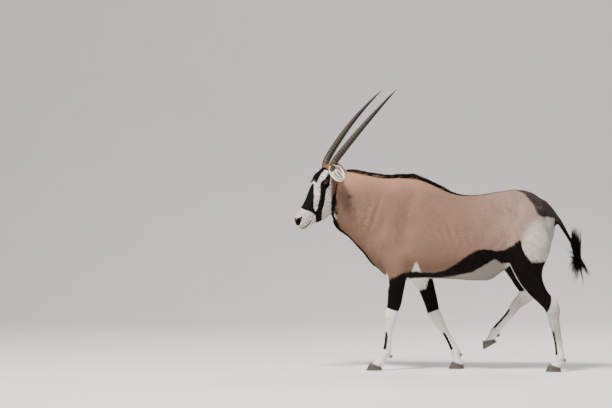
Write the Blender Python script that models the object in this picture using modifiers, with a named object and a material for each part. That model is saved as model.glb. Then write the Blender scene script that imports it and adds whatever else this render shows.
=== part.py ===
"""A gemsbok at life size, standing in mid-stride with one hind foot raised.

The animal faces -X and +Z is up. Flesh is lofted from named sections, fused,
smoothed and parted with thin cuts. All sizes are in metres.
"""
import math

import bmesh
import bpy
import numpy as np
from mathutils import Matrix, Vector
from mathutils.bvhtree import BVHTree

# Driving dimensions
WITHERS_TOP = 1.192
GAP = 0.0003
HALF_GAP = GAP / 2
BODY_VOXEL = 0.0065
HEAD_VOXEL = 0.0035
BODY_FACES = 4500
HEAD_FACES = 2300
EYE_RADIUS = 0.0195
HORN_LENGTH = 0.672
HORN_BASE_RADIUS = 0.0208
HORN_RINGS = 21
EAR_LENGTH = 0.158
HOOF_LENGTH = 0.096
HOOF_GAP = 0.005
CORONET_HEIGHT = 0.040
CORONET_SLOPE = 0.36

# Trunk sections from the rump to the breast:
# x, top, bottom, half width, taper (below 0 is narrower above)
TRUNK = [
    (0.703, 0.930, 0.850, 0.020, 0.00),
    (0.691, 0.965, 0.800, 0.060, 0.00),
    (0.653, 1.020, 0.738, 0.108, 0.00),
    (0.598, 1.072, 0.701, 0.140, -0.05),
    (0.531, 1.104, 0.688, 0.165, -0.10),
    (0.457, 1.112, 0.664, 0.182, -0.15),
    (0.384, 1.103, 0.606, 0.196, -0.20),
    (0.304, 1.090, 0.561, 0.210, -0.22),
    (0.212, 1.077, 0.549, 0.216, -0.25),
    (0.089, 1.083, 0.556, 0.210, -0.28),
    (-0.028, 1.135, 0.560, 0.190, -0.35),
    (-0.127, 1.178, 0.556, 0.168, -0.42),
    (-0.201, WITHERS_TOP, 0.549, 0.150, -0.45),
    (-0.263, 1.172, 0.552, 0.140, -0.42),
    (-0.343, 1.100, 0.580, 0.128, -0.30),
    (-0.424, 1.000, 0.660, 0.102, -0.20),
    (-0.474, 0.860, 0.740, 0.050, 0.00),
]

# Neck sections from the shoulders to the skull:
# crest x, crest z, throat x, throat z, sideways place, half width
NECK = [
    (-0.145, 1.165, -0.250, 0.600, 0.000, 0.132),
    (-0.236, 1.187, -0.395, 0.626, 0.000, 0.126),
    (-0.323, 1.184, -0.479, 0.722, 0.000, 0.110),
    (-0.423, 1.198, -0.564, 0.815, -0.004, 0.096),
    (-0.522, 1.218, -0.641, 0.877, -0.012, 0.084),
    (-0.603, 1.226, -0.672, 0.948, -0.028, 0.074),
    (-0.660, 1.200, -0.700, 1.000, -0.045, 0.058),
]

# Head sections along the face from the poll to the lips, in the head's frame:
# distance, forehead side, jaw side, half width, taper
HEAD = [
    (-0.030, 0.045, -0.060, 0.045, 0.00),
    (0.000, 0.062, -0.085, 0.062, 0.05),
    (0.035, 0.074, -0.105, 0.070, 0.12),
    (0.070, 0.080, -0.120, 0.072, 0.18),
    (0.101, 0.087, -0.130, 0.071, 0.22),
    (0.135, 0.082, -0.137, 0.070, 0.28),
    (0.171, 0.066, -0.143, 0.064, 0.22),
    (0.205, 0.058, -0.147, 0.058, 0.14),
    (0.241, 0.049, -0.150, 0.051, 0.08),
    (0.280, 0.039, -0.141, 0.044, 0.04),
    (0.320, 0.032, -0.124, 0.040, 0.04),
    (0.355, 0.032, -0.103, 0.041, 0.10),
    (0.385, 0.027, -0.089, 0.044, 0.10),
    (0.408, 0.017, -0.081, 0.041, 0.05),
    (0.424, 0.004, -0.073, 0.033, 0.00),
    (0.432, -0.010, -0.064, 0.022, 0.00),
    (0.435, -0.026, -0.052, 0.010, 0.00),
]

# The head's frame: where the poll is, how far the face turns aside and dips
POLL = Vector((-0.6425, -0.040, 1.233))
HEAD_TURN = math.radians(34.0)
HEAD_DIP = math.radians(48.8)

# Limb girths from the top down: towards the front, back, half width, sideways place
FORE_GIRTH = [
    (0.055, 0.055, 0.030, 0.070),
    (0.098, 0.105, 0.050, 0.098),
    (0.104, 0.095, 0.058, 0.120),
    (0.085, 0.080, 0.057, 0.129),
    (0.066, 0.061, 0.049, 0.130),
    (0.053, 0.051, 0.041, 0.127),
    (0.045, 0.044, 0.033, 0.122),
    (0.042, 0.039, 0.032, 0.118),
    (0.043, 0.037, 0.036, 0.116),
    (0.033, 0.034, 0.029, 0.114),
    (0.024, 0.025, 0.022, 0.112),
    (0.023, 0.024, 0.021, 0.110),
    (0.025, 0.027, 0.025, 0.108),
    (0.029, 0.033, 0.031, 0.107),
    (0.026, 0.028, 0.029, 0.106),
    (0.032, 0.033, 0.035, 0.105),
]
HIND_GIRTH = [
    (0.100, 0.080, 0.050, 0.100),
    (0.145, 0.120, 0.082, 0.112),
    (0.163, 0.152, 0.086, 0.120),
    (0.132, 0.128, 0.080, 0.123),
    (0.100, 0.098, 0.069, 0.123),
    (0.078, 0.075, 0.056, 0.122),
    (0.060, 0.059, 0.045, 0.120),
    (0.046, 0.048, 0.037, 0.118),
    (0.044, 0.056, 0.034, 0.116),
    (0.044, 0.048, 0.035, 0.115),
    (0.037, 0.036, 0.029, 0.114),
    (0.032, 0.033, 0.026, 0.113),
    (0.027, 0.029, 0.023, 0.112),
    (0.026, 0.027, 0.023, 0.111),
    (0.027, 0.029, 0.027, 0.110),
    (0.030, 0.034, 0.031, 0.110),
    (0.026, 0.028, 0.029, 0.110),
    (0.032, 0.033, 0.035, 0.110),
]

# Limb paths in side view, x and z, one row for each girth
FORE_LEFT = [
    (-0.224, 1.072), (-0.249, 0.892), (-0.270, 0.738), (-0.261, 0.639),
    (-0.258, 0.571), (-0.265, 0.492), (-0.275, 0.412), (-0.288, 0.369),
    (-0.296, 0.333), (-0.300, 0.296), (-0.310, 0.246), (-0.316, 0.184),
    (-0.321, 0.141), (-0.328, 0.110), (-0.352, 0.070), (-0.378, 0.036),
]
FORE_RIGHT = [
    (-0.236, 1.072), (-0.249, 0.892), (-0.224, 0.738), (-0.162, 0.636),
    (-0.113, 0.548), (-0.088, 0.484), (-0.065, 0.408), (-0.049, 0.352),
    (-0.032, 0.321), (-0.010, 0.277), (0.019, 0.234), (0.047, 0.184),
    (0.071, 0.137), (0.086, 0.105), (0.092, 0.069), (0.100, 0.036),
]
HIND_LEFT = [
    (0.564, 1.010), (0.539, 0.874), (0.536, 0.775), (0.539, 0.694),
    (0.545, 0.626), (0.562, 0.565), (0.595, 0.503), (0.637, 0.448),
    (0.673, 0.408), (0.693, 0.371), (0.701, 0.322), (0.708, 0.278),
    (0.719, 0.219), (0.729, 0.161), (0.734, 0.120), (0.736, 0.088),
    (0.726, 0.060), (0.714, 0.036),
]
HIND_RIGHT = [
    (0.545, 1.000), (0.515, 0.880), (0.464, 0.790), (0.441, 0.725),
    (0.457, 0.668), (0.482, 0.602), (0.505, 0.536), (0.522, 0.494),
    (0.524, 0.467), (0.507, 0.441), (0.474, 0.409), (0.450, 0.382),
    (0.420, 0.337), (0.380, 0.291), (0.352, 0.258), (0.329, 0.228),
    (0.316, 0.203), (0.307, 0.181),
]

# Each foot: name, side, middle of the sole (x, z), how far the toe dips, half width place
FEET = {
    "fore_left": (-1, (-0.401, 0.0), 0.0, 0.105),
    "fore_right": (1, (0.092, 0.0), 0.0, 0.105),
    "hind_left": (-1, (0.697, 0.0), 0.0, 0.110),
    "hind_right": (1, (0.300, 0.142), math.radians(30.0), 0.110),
}

# Tail bone: x, z, radius
TAIL = [
    (0.610, 1.020, 0.045),
    (0.660, 0.990, 0.034),
    (0.697, 0.952, 0.025),
    (0.735, 0.903, 0.018),
    (0.774, 0.840, 0.014),
    (0.803, 0.787, 0.012),
    (0.832, 0.725, 0.010),
    (0.858, 0.664, 0.007),
]

# Swellings and hollows of the body: x, z, sideways place, reach, height
BODY_SWELLS = [
    (0.455, 1.055, 0.150, 0.050, 0.012),
    (0.395, 0.960, 0.190, 0.075, -0.014),
    (0.330, 0.700, 0.190, 0.070, -0.010),
    (0.690, 0.890, 0.090, 0.050, 0.010),
    (0.620, 0.800, 0.190, 0.080, 0.008),
    (-0.300, 0.790, 0.150, 0.050, 0.010),
    (-0.190, 0.700, 0.180, 0.055, 0.012),
    (-0.130, 0.900, 0.160, 0.080, -0.010),
    (-0.270, 1.000, 0.110, 0.070, 0.008),
    (-0.420, 0.950, 0.100, 0.070, -0.007),
    (0.300, 0.555, 0.000, 0.050, 0.008),
]

# Swellings and hollows of the head: distance, height, sideways place, reach, amount
HEAD_SWELLS = [
    (0.132, 0.036, 0.074, 0.027, 0.009),
    (0.110, 0.062, 0.060, 0.020, 0.002),
    (0.185, -0.085, 0.052, 0.045, 0.008),
    (0.205, 0.000, 0.055, 0.028, -0.006),
    (0.390, 0.000, 0.040, 0.016, 0.005),
    (0.395, -0.040, 0.042, 0.018, 0.003),
    (0.350, -0.085, 0.030, 0.024, -0.003),
    (0.412, -0.078, 0.012, 0.014, 0.003),
]


def resampled(rows, count):
    """Catmull-Rom curve through the rows of a table, at count even steps of its index."""
    rows = np.asarray(rows, float)
    padded = np.vstack([2 * rows[0] - rows[1], rows, 2 * rows[-1] - rows[-2]])
    place = np.linspace(0, len(rows) - 1, count)
    cell = np.minimum(place.astype(int), len(rows) - 2)
    t = (place - cell)[:, None]
    a, b, c, d = (padded[cell + k] for k in range(4))
    return 0.5 * (
        2 * b
        + (c - a) * t
        + (2 * a - 5 * b + 4 * c - d) * t**2
        + (3 * b - 3 * c + d - a) * t**3
    )


def normalised(vectors):
    return vectors / np.linalg.norm(vectors, axis=-1, keepdims=True)


def made(name, points, faces):
    """A mesh object with its faces turned outwards."""
    mesh = bpy.data.meshes.new(name)
    mesh.from_pydata([tuple(p) for p in points], [], [tuple(f) for f in faces])
    obj = bpy.data.objects.new(name, mesh)
    bpy.context.scene.collection.objects.link(obj)
    work = bmesh.new()
    work.from_mesh(mesh)
    bmesh.ops.recalc_face_normals(work, faces=work.faces)
    work.to_mesh(mesh)
    work.free()
    return obj


def tube(name, rings):
    """A closed tube through rings of points, each end closed on its middle."""
    count, around = rings.shape[:2]
    points = np.vstack([rings.reshape(-1, 3), rings[0].mean(0), rings[-1].mean(0)])
    faces = []
    for i in range(count - 1):
        for j in range(around):
            k = (j + 1) % around
            faces.append((i * around + j, i * around + k, (i + 1) * around + k, (i + 1) * around + j))
    first, last = count * around, count * around + 1
    for j in range(around):
        k = (j + 1) % around
        faces.append((j, k, first))
        faces.append(((count - 1) * around + j, (count - 1) * around + k, last))
    return made(name, points, faces)


def sections(centre, up, side, high, low, wide, taper, around, power=2.15):
    """Rings of points: each an oval of its own height above and below, width and taper."""
    angle = np.linspace(0, 2 * math.pi, around, endpoint=False)
    exponent = 2 / power
    across = np.sign(np.cos(angle)) * np.abs(np.cos(angle)) ** exponent
    rise = np.sign(np.sin(angle)) * np.abs(np.sin(angle)) ** exponent
    height = np.where(rise > 0, high[:, None], low[:, None]) * rise
    width = wide[:, None] * across * (1 + taper[:, None] * rise)
    return centre[:, None] + up[:, None] * height[..., None] + side[:, None] * width[..., None]


def trunk():
    rows = resampled(TRUNK, 60)
    x, top, bottom, wide, taper = rows.T
    middle = bottom + (top - bottom) * 0.48
    centre = np.column_stack([x, np.zeros_like(x), middle])
    up = np.tile((0.0, 0.0, 1.0), (len(x), 1))
    side = np.tile((0.0, 1.0, 0.0), (len(x), 1))
    return tube("trunk", sections(centre, up, side, top - middle, middle - bottom, wide, taper, 44))


def neck():
    rows = resampled(NECK, 36)
    crest = np.column_stack([rows[:, 0], rows[:, 4], rows[:, 1]])
    throat = np.column_stack([rows[:, 2], rows[:, 4], rows[:, 3]])
    up = normalised(crest - throat)
    half = np.linalg.norm(crest - throat, axis=1) / 2
    side = np.tile((0.0, 1.0, 0.0), (len(rows), 1))
    taper = np.full(len(rows), -0.12)
    rings = sections((crest + throat) / 2, up, side, half, half, rows[:, 5], taper, 36)
    return tube("neck_core", rings)


def head_axes():
    """Directions along the face, out of the forehead, and to the animal's left."""
    level = Vector((-math.cos(HEAD_TURN), -math.sin(HEAD_TURN), 0))
    face = level * math.cos(HEAD_DIP) - Vector((0, 0, math.sin(HEAD_DIP)))
    brow = level * math.sin(HEAD_DIP) + Vector((0, 0, math.cos(HEAD_DIP)))
    return face, brow, Vector((0, 0, 1)).cross(level)


def head_matrix():
    """From the head's frame (distance, height, left) to the animal's."""
    face, brow, left = head_axes()
    turn = Matrix((face, brow, left)).transposed().to_4x4()
    return Matrix.Translation(POLL) @ turn


def in_head(points):
    """Points given as (distance, height, left) turned into the animal's frame."""
    matrix = np.array(head_matrix())
    return np.asarray(points, float) @ matrix[:3, :3].T + matrix[:3, 3]


def head():
    rows = resampled(HEAD, 60)
    along, top, bottom, wide, taper = rows.T
    middle = bottom + (top - bottom) * 0.55
    centre = np.column_stack([along, middle, np.zeros_like(along)])
    up = np.tile((0.0, 1.0, 0.0), (len(along), 1))
    side = np.tile((0.0, 0.0, 1.0), (len(along), 1))
    rings = sections(centre, up, side, top - middle, middle - bottom, wide, taper, 40, 2.3)
    return tube("head_core", in_head(rings.reshape(-1, 3)).reshape(rings.shape))


def limb(name, path, girth, side_sign):
    """A leg from inside the body down to the coronet, and a little way into the hoof."""
    path, girth = np.asarray(path), np.asarray(girth)
    points = np.column_stack([path[:, 0], side_sign * girth[:, 3], path[:, 1]])
    rows = resampled(np.column_stack([points, girth[:, :3]]), 6 * len(path))
    centre = rows[:, :3]
    down = normalised(np.gradient(centre, axis=0))
    side = np.tile((0.0, 1.0, 0.0), (len(rows), 1))
    side = normalised(side - down * (side * down).sum(1, keepdims=True))
    front = np.cross(side, down)
    taper = np.zeros(len(rows))
    rings = sections(centre, front, side, rows[:, 3], rows[:, 4], rows[:, 5], taper, 24, 2.1)
    tip = rings[-1:] + down[-1] * 0.02
    return tube(name, np.concatenate([rings, tip]))


def tail_bone():
    rows = resampled([(x, 0.0, z, r) for x, z, r in TAIL], 40)
    centre = rows[:, :3]
    along = normalised(np.gradient(centre, axis=0))
    side = np.tile((0.0, 1.0, 0.0), (len(rows), 1))
    front = np.cross(side, along)
    radius, flat = rows[:, 3], np.zeros(len(rows))
    return tube("tail_core", sections(centre, front, side, radius, radius, radius * 1.15, flat, 14, 2.0))


def evaluated_copy(obj, name):
    """The object's mesh with its modifiers applied, as a new object; the old one goes."""
    graph = bpy.context.evaluated_depsgraph_get()
    mesh = bpy.data.meshes.new_from_object(obj.evaluated_get(graph), depsgraph=graph)
    new = bpy.data.objects.new(name, mesh)
    new.matrix_world = obj.matrix_world.copy()
    bpy.context.scene.collection.objects.link(new)
    bpy.data.objects.remove(obj)
    return new


def fused(name, pieces, voxel):
    """One skin round overlapping closed pieces, by a voxel remesh."""
    points, faces, start = [], [], 0
    for piece in pieces:
        points += [v.co[:] for v in piece.data.vertices]
        faces += [[start + i for i in p.vertices] for p in piece.data.polygons]
        start += len(piece.data.vertices)
    for piece in pieces:
        bpy.data.objects.remove(piece)
    mesh = bpy.data.meshes.new(name)
    mesh.from_pydata(points, [], faces)
    obj = bpy.data.objects.new(name, mesh)
    bpy.context.scene.collection.objects.link(obj)
    remesh = obj.modifiers.new("Remesh", "REMESH")
    remesh.mode = "VOXEL"
    remesh.voxel_size = voxel
    return evaluated_copy(obj, name)


def coordinates(mesh):
    points = np.empty(len(mesh.vertices) * 3, np.float32)
    mesh.vertices.foreach_get("co", points)
    return points.reshape(-1, 3).astype(float)


def set_coordinates(mesh, points):
    mesh.vertices.foreach_set("co", points.astype(np.float32).ravel())
    mesh.update()


def normals(mesh):
    found = np.empty(len(mesh.vertices) * 3, np.float32)
    mesh.vertex_normals.foreach_get("vector", found)
    return found.reshape(-1, 3).astype(float)


def relaxed(mesh, weight, steps):
    """Moves each point towards the mean of its neighbours, by its weight, again and again."""
    ends = np.empty(len(mesh.edges) * 2, np.int32)
    mesh.edges.foreach_get("vertices", ends)
    a, b = ends.reshape(-1, 2).T
    points = coordinates(mesh)
    count = np.bincount(np.concatenate([a, b]), minlength=len(points))[:, None]
    for _ in range(steps):
        total = np.column_stack(
            [
                np.bincount(a, points[b, k], len(points)) + np.bincount(b, points[a, k], len(points))
                for k in range(3)
            ]
        )
        points += weight[:, None] * (total / count - points)
    set_coordinates(mesh, points)


def swollen(mesh, swells):
    """Pushes the surface out along its normals by a sum of rounded bumps."""
    points, outward = coordinates(mesh), normals(mesh)
    push = np.zeros(len(points))
    for centre, reach, amount in swells:
        push += amount * np.exp(-((points - centre) ** 2).sum(1) / reach**2)
    set_coordinates(mesh, points + outward * push[:, None])


def thinned(obj, faces):
    """Fewer triangles, by collapsing the edges that matter least."""
    triangles = obj.modifiers.new("Triangulate", "TRIANGULATE")
    triangles.quad_method = "SHORTEST_DIAGONAL"
    decimate = obj.modifiers.new("Decimate", "DECIMATE")
    decimate.ratio = faces / (2 * len(obj.data.polygons))
    return evaluated_copy(obj, obj.name)


def body_weight(points):
    """How strongly the fused body is smoothed: fully on the trunk, little on the thin legs."""
    rise = np.clip((points[:, 2] - 0.42) / 0.22, 0, 1)
    tail = np.clip((0.74 - points[:, 0]) / 0.04, 0.05, 1)
    return 0.5 * np.maximum(rise, 0.06) * tail


def limbs():
    return [
        limb("fore_left", FORE_LEFT, FORE_GIRTH, -1),
        limb("fore_right", FORE_RIGHT, FORE_GIRTH, 1),
        limb("hind_left", HIND_LEFT, HIND_GIRTH, -1),
        limb("hind_right", HIND_RIGHT, HIND_GIRTH, 1),
    ]


def body_flesh():
    dewclaws = [dewclaw(foot, half) for foot in FEET for half in (-1, 1)]
    pieces = [trunk(), neck(), head(), tail_bone()] + limbs() + dewclaws
    flesh = fused("body_flesh", pieces, BODY_VOXEL)
    relaxed(flesh.data, body_weight(coordinates(flesh.data)), 30)
    swells = []
    for x, z, place, reach, amount in BODY_SWELLS:
        for side in (-1, 1) if place else (1,):
            swells.append(((x, side * place, z), reach, amount))
    swollen(flesh.data, swells)
    return thinned(flesh, BODY_FACES)


def head_flesh():
    flesh = fused("head", [head(), neck()], HEAD_VOXEL)
    points = coordinates(flesh.data)
    relaxed(flesh.data, np.full(len(points), 0.5), 8)
    swells = []
    for along, high, place, reach, amount in HEAD_SWELLS:
        for side in (-1, 1):
            swells.append((in_head([(along, high, side * place)])[0], reach, amount))
    swollen(flesh.data, swells)
    return flesh


def box(name, size, matrix):
    """A closed box of this size, placed by a matrix, its mesh in the animal's frame."""
    bpy.ops.mesh.primitive_cube_add(size=1)
    obj = bpy.context.active_object
    obj.name = name
    obj.data.transform(matrix @ Matrix.Diagonal((*size, 1)))
    return obj


def facing(origin, forward, up=(0, 1, 0)):
    """A frame whose X axis is forward and whose Z axis leans as near up as it can."""
    x = Vector(forward).normalized()
    y = Vector(up).cross(x).normalized()
    turn = Matrix((x, y, x.cross(y))).transposed().to_4x4()
    return Matrix.Translation(Vector(origin)) @ turn


def boolean(obj, other, operation="DIFFERENCE", solver="MANIFOLD"):
    """Applies one Boolean with a cutter or a list of them, then removes the cutters."""
    others = other if isinstance(other, list) else [other]
    for cutter in others:
        CUTTERS.objects.link(cutter)
    cut = obj.modifiers.new("Boolean", "BOOLEAN")
    cut.operation = operation
    cut.solver = solver
    cut.operand_type = "COLLECTION"
    cut.collection = CUTTERS
    result = evaluated_copy(obj, obj.name)
    for cutter in others:
        bpy.data.objects.remove(cutter)
    return result


def loose_parts(obj):
    """The object's separate closed surfaces, parted where faces share no edge; the old one goes."""
    work = bmesh.new()
    work.from_mesh(obj.data)
    work.faces.ensure_lookup_table()
    seen = np.full(len(work.faces), -1)
    groups = []
    for face in work.faces:
        if seen[face.index] >= 0:
            continue
        stack, members = [face], []
        seen[face.index] = len(groups)
        while stack:
            here = stack.pop()
            members.append(here)
            for edge in here.edges:
                for other in edge.link_faces:
                    if seen[other.index] < 0:
                        seen[other.index] = len(groups)
                        stack.append(other)
        groups.append(members)
    found = []
    for members in groups:
        place = {v: k for k, v in enumerate(dict.fromkeys(v for f in members for v in f.verts))}
        faces = [[place[v] for v in f.verts] for f in members]
        mesh = bpy.data.meshes.new("part")
        mesh.from_pydata([v.co[:] for v in place], [], faces)
        part = bpy.data.objects.new("part", mesh)
        bpy.context.scene.collection.objects.link(part)
        found.append(part)
    work.free()
    bpy.data.objects.remove(obj)
    return found


def volume(obj):
    work = bmesh.new()
    work.from_mesh(obj.data)
    found = work.calc_volume(signed=True)
    work.free()
    return found


def largest(obj, name):
    """Keeps only the object's largest closed surface."""
    parts = sorted(loose_parts(obj), key=volume)
    for scrap in parts[:-1]:
        bpy.data.objects.remove(scrap)
    parts[-1].name = name
    return parts[-1]


def lock(name, root, direction, bend, length, width, thickness, flat, steps=4):
    """A flat tapered lock of hair, four-sided, from a sunk root along a bending path to a tip."""
    t = np.linspace(0, 1, steps + 1)[:-1, None]
    path = np.asarray(root) + length * (t * np.asarray(direction) + t**2 * np.asarray(bend))
    along = normalised(np.asarray(direction) + 2 * t * np.asarray(bend))
    broad = normalised(np.asarray(flat) - along * (along @ np.asarray(flat))[:, None])
    thin = np.cross(along, broad)
    size = np.sin(math.pi * (0.22 + 0.72 * t)) ** 0.8
    rings = np.stack(
        [
            path + broad * size * width / 2,
            path + thin * size * thickness / 2,
            path - broad * size * width / 2,
            path - thin * size * thickness / 2,
        ],
        axis=1,
    )
    tip = np.asarray(root) + length * (np.asarray(direction) + np.asarray(bend))
    points = np.vstack([rings.reshape(-1, 3), tip])
    faces = [(3, 2, 1, 0)]
    for i in range(steps - 1):
        for j in range(4):
            k = (j + 1) % 4
            faces.append((4 * i + j, 4 * i + k, 4 * i + 4 + k, 4 * i + 4 + j))
    last = 4 * (steps - 1)
    for j in range(4):
        faces.append((last + j, last + (j + 1) % 4, 4 * steps))
    return made(name, points, faces)


def surface_height(tree, x, y):
    """Height of the body's upper surface over a place."""
    return tree.ray_cast(Vector((x, y, 2)), Vector((0, 0, -1)))[0].z


def crest_sideways(x):
    rows = resampled(NECK, 60)[::-1]
    return float(np.interp(x, rows[:, 0], rows[:, 4]))


MANE_START, MANE_END, MANE_LOCKS = -0.590, -0.335, 20


def mane_locks(body):
    """Short bristly locks in two staggered rows, lying back along the crest of the neck."""
    draw = np.random.default_rng(11)
    faces = [tuple(p.vertices) for p in body.data.polygons]
    tree = BVHTree.FromPolygons(coordinates(body.data).tolist(), faces)
    locks = []
    for k in range(MANE_LOCKS):
        share = k / (MANE_LOCKS - 1)
        x = MANE_START + (MANE_END - MANE_START) * share + draw.uniform(-0.003, 0.003)
        side = 1 if k % 2 else -1
        y = crest_sideways(x) + side * draw.uniform(0.003, 0.008)
        top = surface_height(tree, x, y)
        root = (x, y, top - 0.008)
        stand = 0.62 - 0.30 * share + draw.uniform(-0.08, 0.08)
        slope = (surface_height(tree, x + 0.02, y) - top) / 0.02
        direction = (0.80, 0.10 * side, stand + 0.8 * slope)
        bend = (0.15, 0.05 * side, -0.55 * stand)
        length = 0.062 - 0.022 * share + draw.uniform(-0.006, 0.006)
        locks.append(lock("lock", root, direction, bend, length, 0.020, 0.008, (0, 0, 1)))
    return locks


TUFT_ROOTS = [(0.803, 0.787), (0.832, 0.725), (0.858, 0.664)]
TUFT_RISING, TUFT_FALLING, TUFT_STRAY = 8, 9, 3


def tuft_locks():
    """Long locks on the end of the tail: some flicked up behind it, the others falling."""
    draw = np.random.default_rng(5)
    bone = resampled([(x, 0.0, z) for x, z in TUFT_ROOTS], 30)
    locks = []
    for k in range(TUFT_RISING):
        root = bone[int(draw.uniform(8, 29))]
        spread, lean = draw.uniform(-0.16, 0.16), draw.uniform(-0.16, 0.36)
        direction = (lean, spread, 0.95)
        bend = (-0.5 * lean, 0.1 * spread, 0.05)
        length = (0.850 + draw.uniform(-0.02, 0.05)) - root[2]
        locks.append(lock("lock", root, direction, bend, length, 0.028, 0.012, (0.4, 1, 0), 4))
    for k in range(TUFT_FALLING):
        root = bone[int(draw.uniform(16, 29))]
        spread, lean = draw.uniform(-0.35, 0.35), draw.uniform(-0.30, 0.35)
        direction = (lean, spread, -0.80)
        bend = (-0.2 * lean, -0.45 * spread, -0.15)
        length = draw.uniform(0.10, 0.165)
        locks.append(lock("lock", root, direction, bend, length, 0.026, 0.012, (1, 0.3, 0), 4))
    for k in range(TUFT_STRAY):
        root = bone[int(draw.uniform(14, 26))]
        direction = (-0.75, draw.uniform(-0.4, 0.4), -0.15)
        bend = (0.0, 0.0, 0.45 - 0.25 * k)
        locks.append(lock("lock", root, direction, bend, 0.080, 0.016, 0.009, (0, 1, 0), 4))
    return locks


def hoof_matrix(foot):
    """The foot's frame: X towards the toe, Z out of the ankle, on the middle of the sole."""
    side, (x, z), dip, place = FEET[foot]
    turn = Matrix.Rotation(math.pi, 4, "Z")
    tilt = Matrix.Rotation(dip, 4, "Y")
    return Matrix.Translation((x, side * place, z)) @ turn @ tilt


def claw(name, foot, half):
    """One half of a cloven hoof: a pointed flat sole, sloping walls and a slanted top."""
    angle = np.linspace(0, 2 * math.pi, 14, endpoint=False)
    levels = [0.0, 0.18, 0.6, 1.0]
    rings = []
    for level in levels:
        length = HOOF_LENGTH / 2 * (1 - 0.30 * level)
        wide = 0.0205 - 0.0025 * level - 0.0012 * (level == 0)
        back = -0.0105 * level - 0.002 * (level == 0)
        x = back + length * np.cos(angle)
        pointed = 1 - 0.34 * np.maximum(np.cos(angle), 0) ** 2
        y = half * (HOOF_GAP / 2 + 0.0205) + wide * np.sin(angle) * pointed
        y -= half * 0.006 * np.maximum(x / HOOF_LENGTH * 2, 0) ** 2
        height = level * (CORONET_HEIGHT + CORONET_SLOPE * x)
        rings.append(np.column_stack([x, y, height]))
    obj = tube(name, np.array(rings))
    obj.data.transform(hoof_matrix(foot))
    return obj


# Where the small false hooves stand behind each fetlock (x, z), and their lean
DEWCLAWS = {
    "fore_left": (-0.297, 0.086, 0.5),
    "fore_right": (0.120, 0.086, 0.1),
    "hind_left": (0.768, 0.068, 0.4),
    "hind_right": (0.352, 0.207, 0.9),
}


def dewclaw(foot, half):
    """A small horny stub behind the fetlock, as an oval ball."""
    x, z, lean = DEWCLAWS[foot]
    side, _, _, place = FEET[foot]
    stub = ball("dewclaw", (0, 0, 0), 1.0, 12, 8)
    turn = Matrix.Rotation(lean, 4, "Y") @ Matrix.Diagonal((0.013, 0.010, 0.017, 1))
    stub.data.transform(Matrix.Translation((x, side * place + half * 0.017, z)) @ turn)
    return stub


def horn_path(side, count):
    """Middle line of a horn in the head's frame, gently curved back and spreading."""
    u = np.linspace(0, 1, count)
    along = 0.041 + 0.009 * u - HORN_LENGTH * u
    high = 0.0600 + 0.059 * u - 0.0760 * u**2 - 0.020 * np.exp(-((u / 0.05) ** 2))
    aside = side * (0.044 + 0.145 * u - 0.098 * u**2)
    return u, np.column_stack([along, high, aside])


def horn_radius(u):
    return HORN_BASE_RADIUS * np.interp(u, [0, 0.15, 0.4, 0.7, 0.9, 1], [1.0, 0.98, 0.84, 0.54, 0.28, 0.05])


HORN_RING_START, HORN_RING_END = 0.060, 0.66


def horn(name, side, grow=0.0, reach=1.0):
    """A tapering horn, ringed over its lower two thirds and smooth to the tip.

    Grown a little and cut short it is the cutter of the horn's seat in the skull.
    """
    ring = np.linspace(HORN_RING_START, HORN_RING_END, HORN_RINGS * 2 + 1)
    stops = np.concatenate([[0.0, 0.02], ring, np.linspace(0.70, 0.97, 7), [1.0]])
    fine_u, fine = horn_path(side, 400)
    path = np.column_stack([np.interp(stops, fine_u, fine[:, k]) for k in range(3)])
    ridged = np.zeros(len(stops))
    ridged[2 : 2 + len(ring)] = np.where(np.arange(len(ring)) % 2, 0.045, -0.035)
    fade = np.interp(stops, [HORN_RING_START, 0.5, HORN_RING_END], [1, 1, 0.2])
    radius = horn_radius(stops) * (1 + ridged * fade) + grow
    along = normalised(np.gradient(path, axis=0))
    path[0] -= along[0] * grow
    aside = np.tile((0.0, 0.0, 1.0), (len(stops), 1))
    aside = normalised(aside - along * (aside * along).sum(1, keepdims=True))
    front = np.cross(aside, along)
    flat = np.zeros(len(stops))
    rings = sections(path, front, aside, radius * 1.04, radius * 1.04, radius * 0.96, flat, 10, 2.0)
    rings = rings[stops <= reach]
    return tube(name, in_head(rings.reshape(-1, 3)).reshape(rings.shape))


EAR_BASE = Vector((0.035, 0.042, 0.060))
# Each ear's axis and the way it opens, in the head's frame; the right one is laid further back
EAR_AXES = {
    1: ((0.42, -0.40, 0.815), (-0.249, 0.813, 0.526)),
    -1: ((0.20, -0.78, -0.60), (-0.249, 0.700, -0.670)),
}


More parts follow.
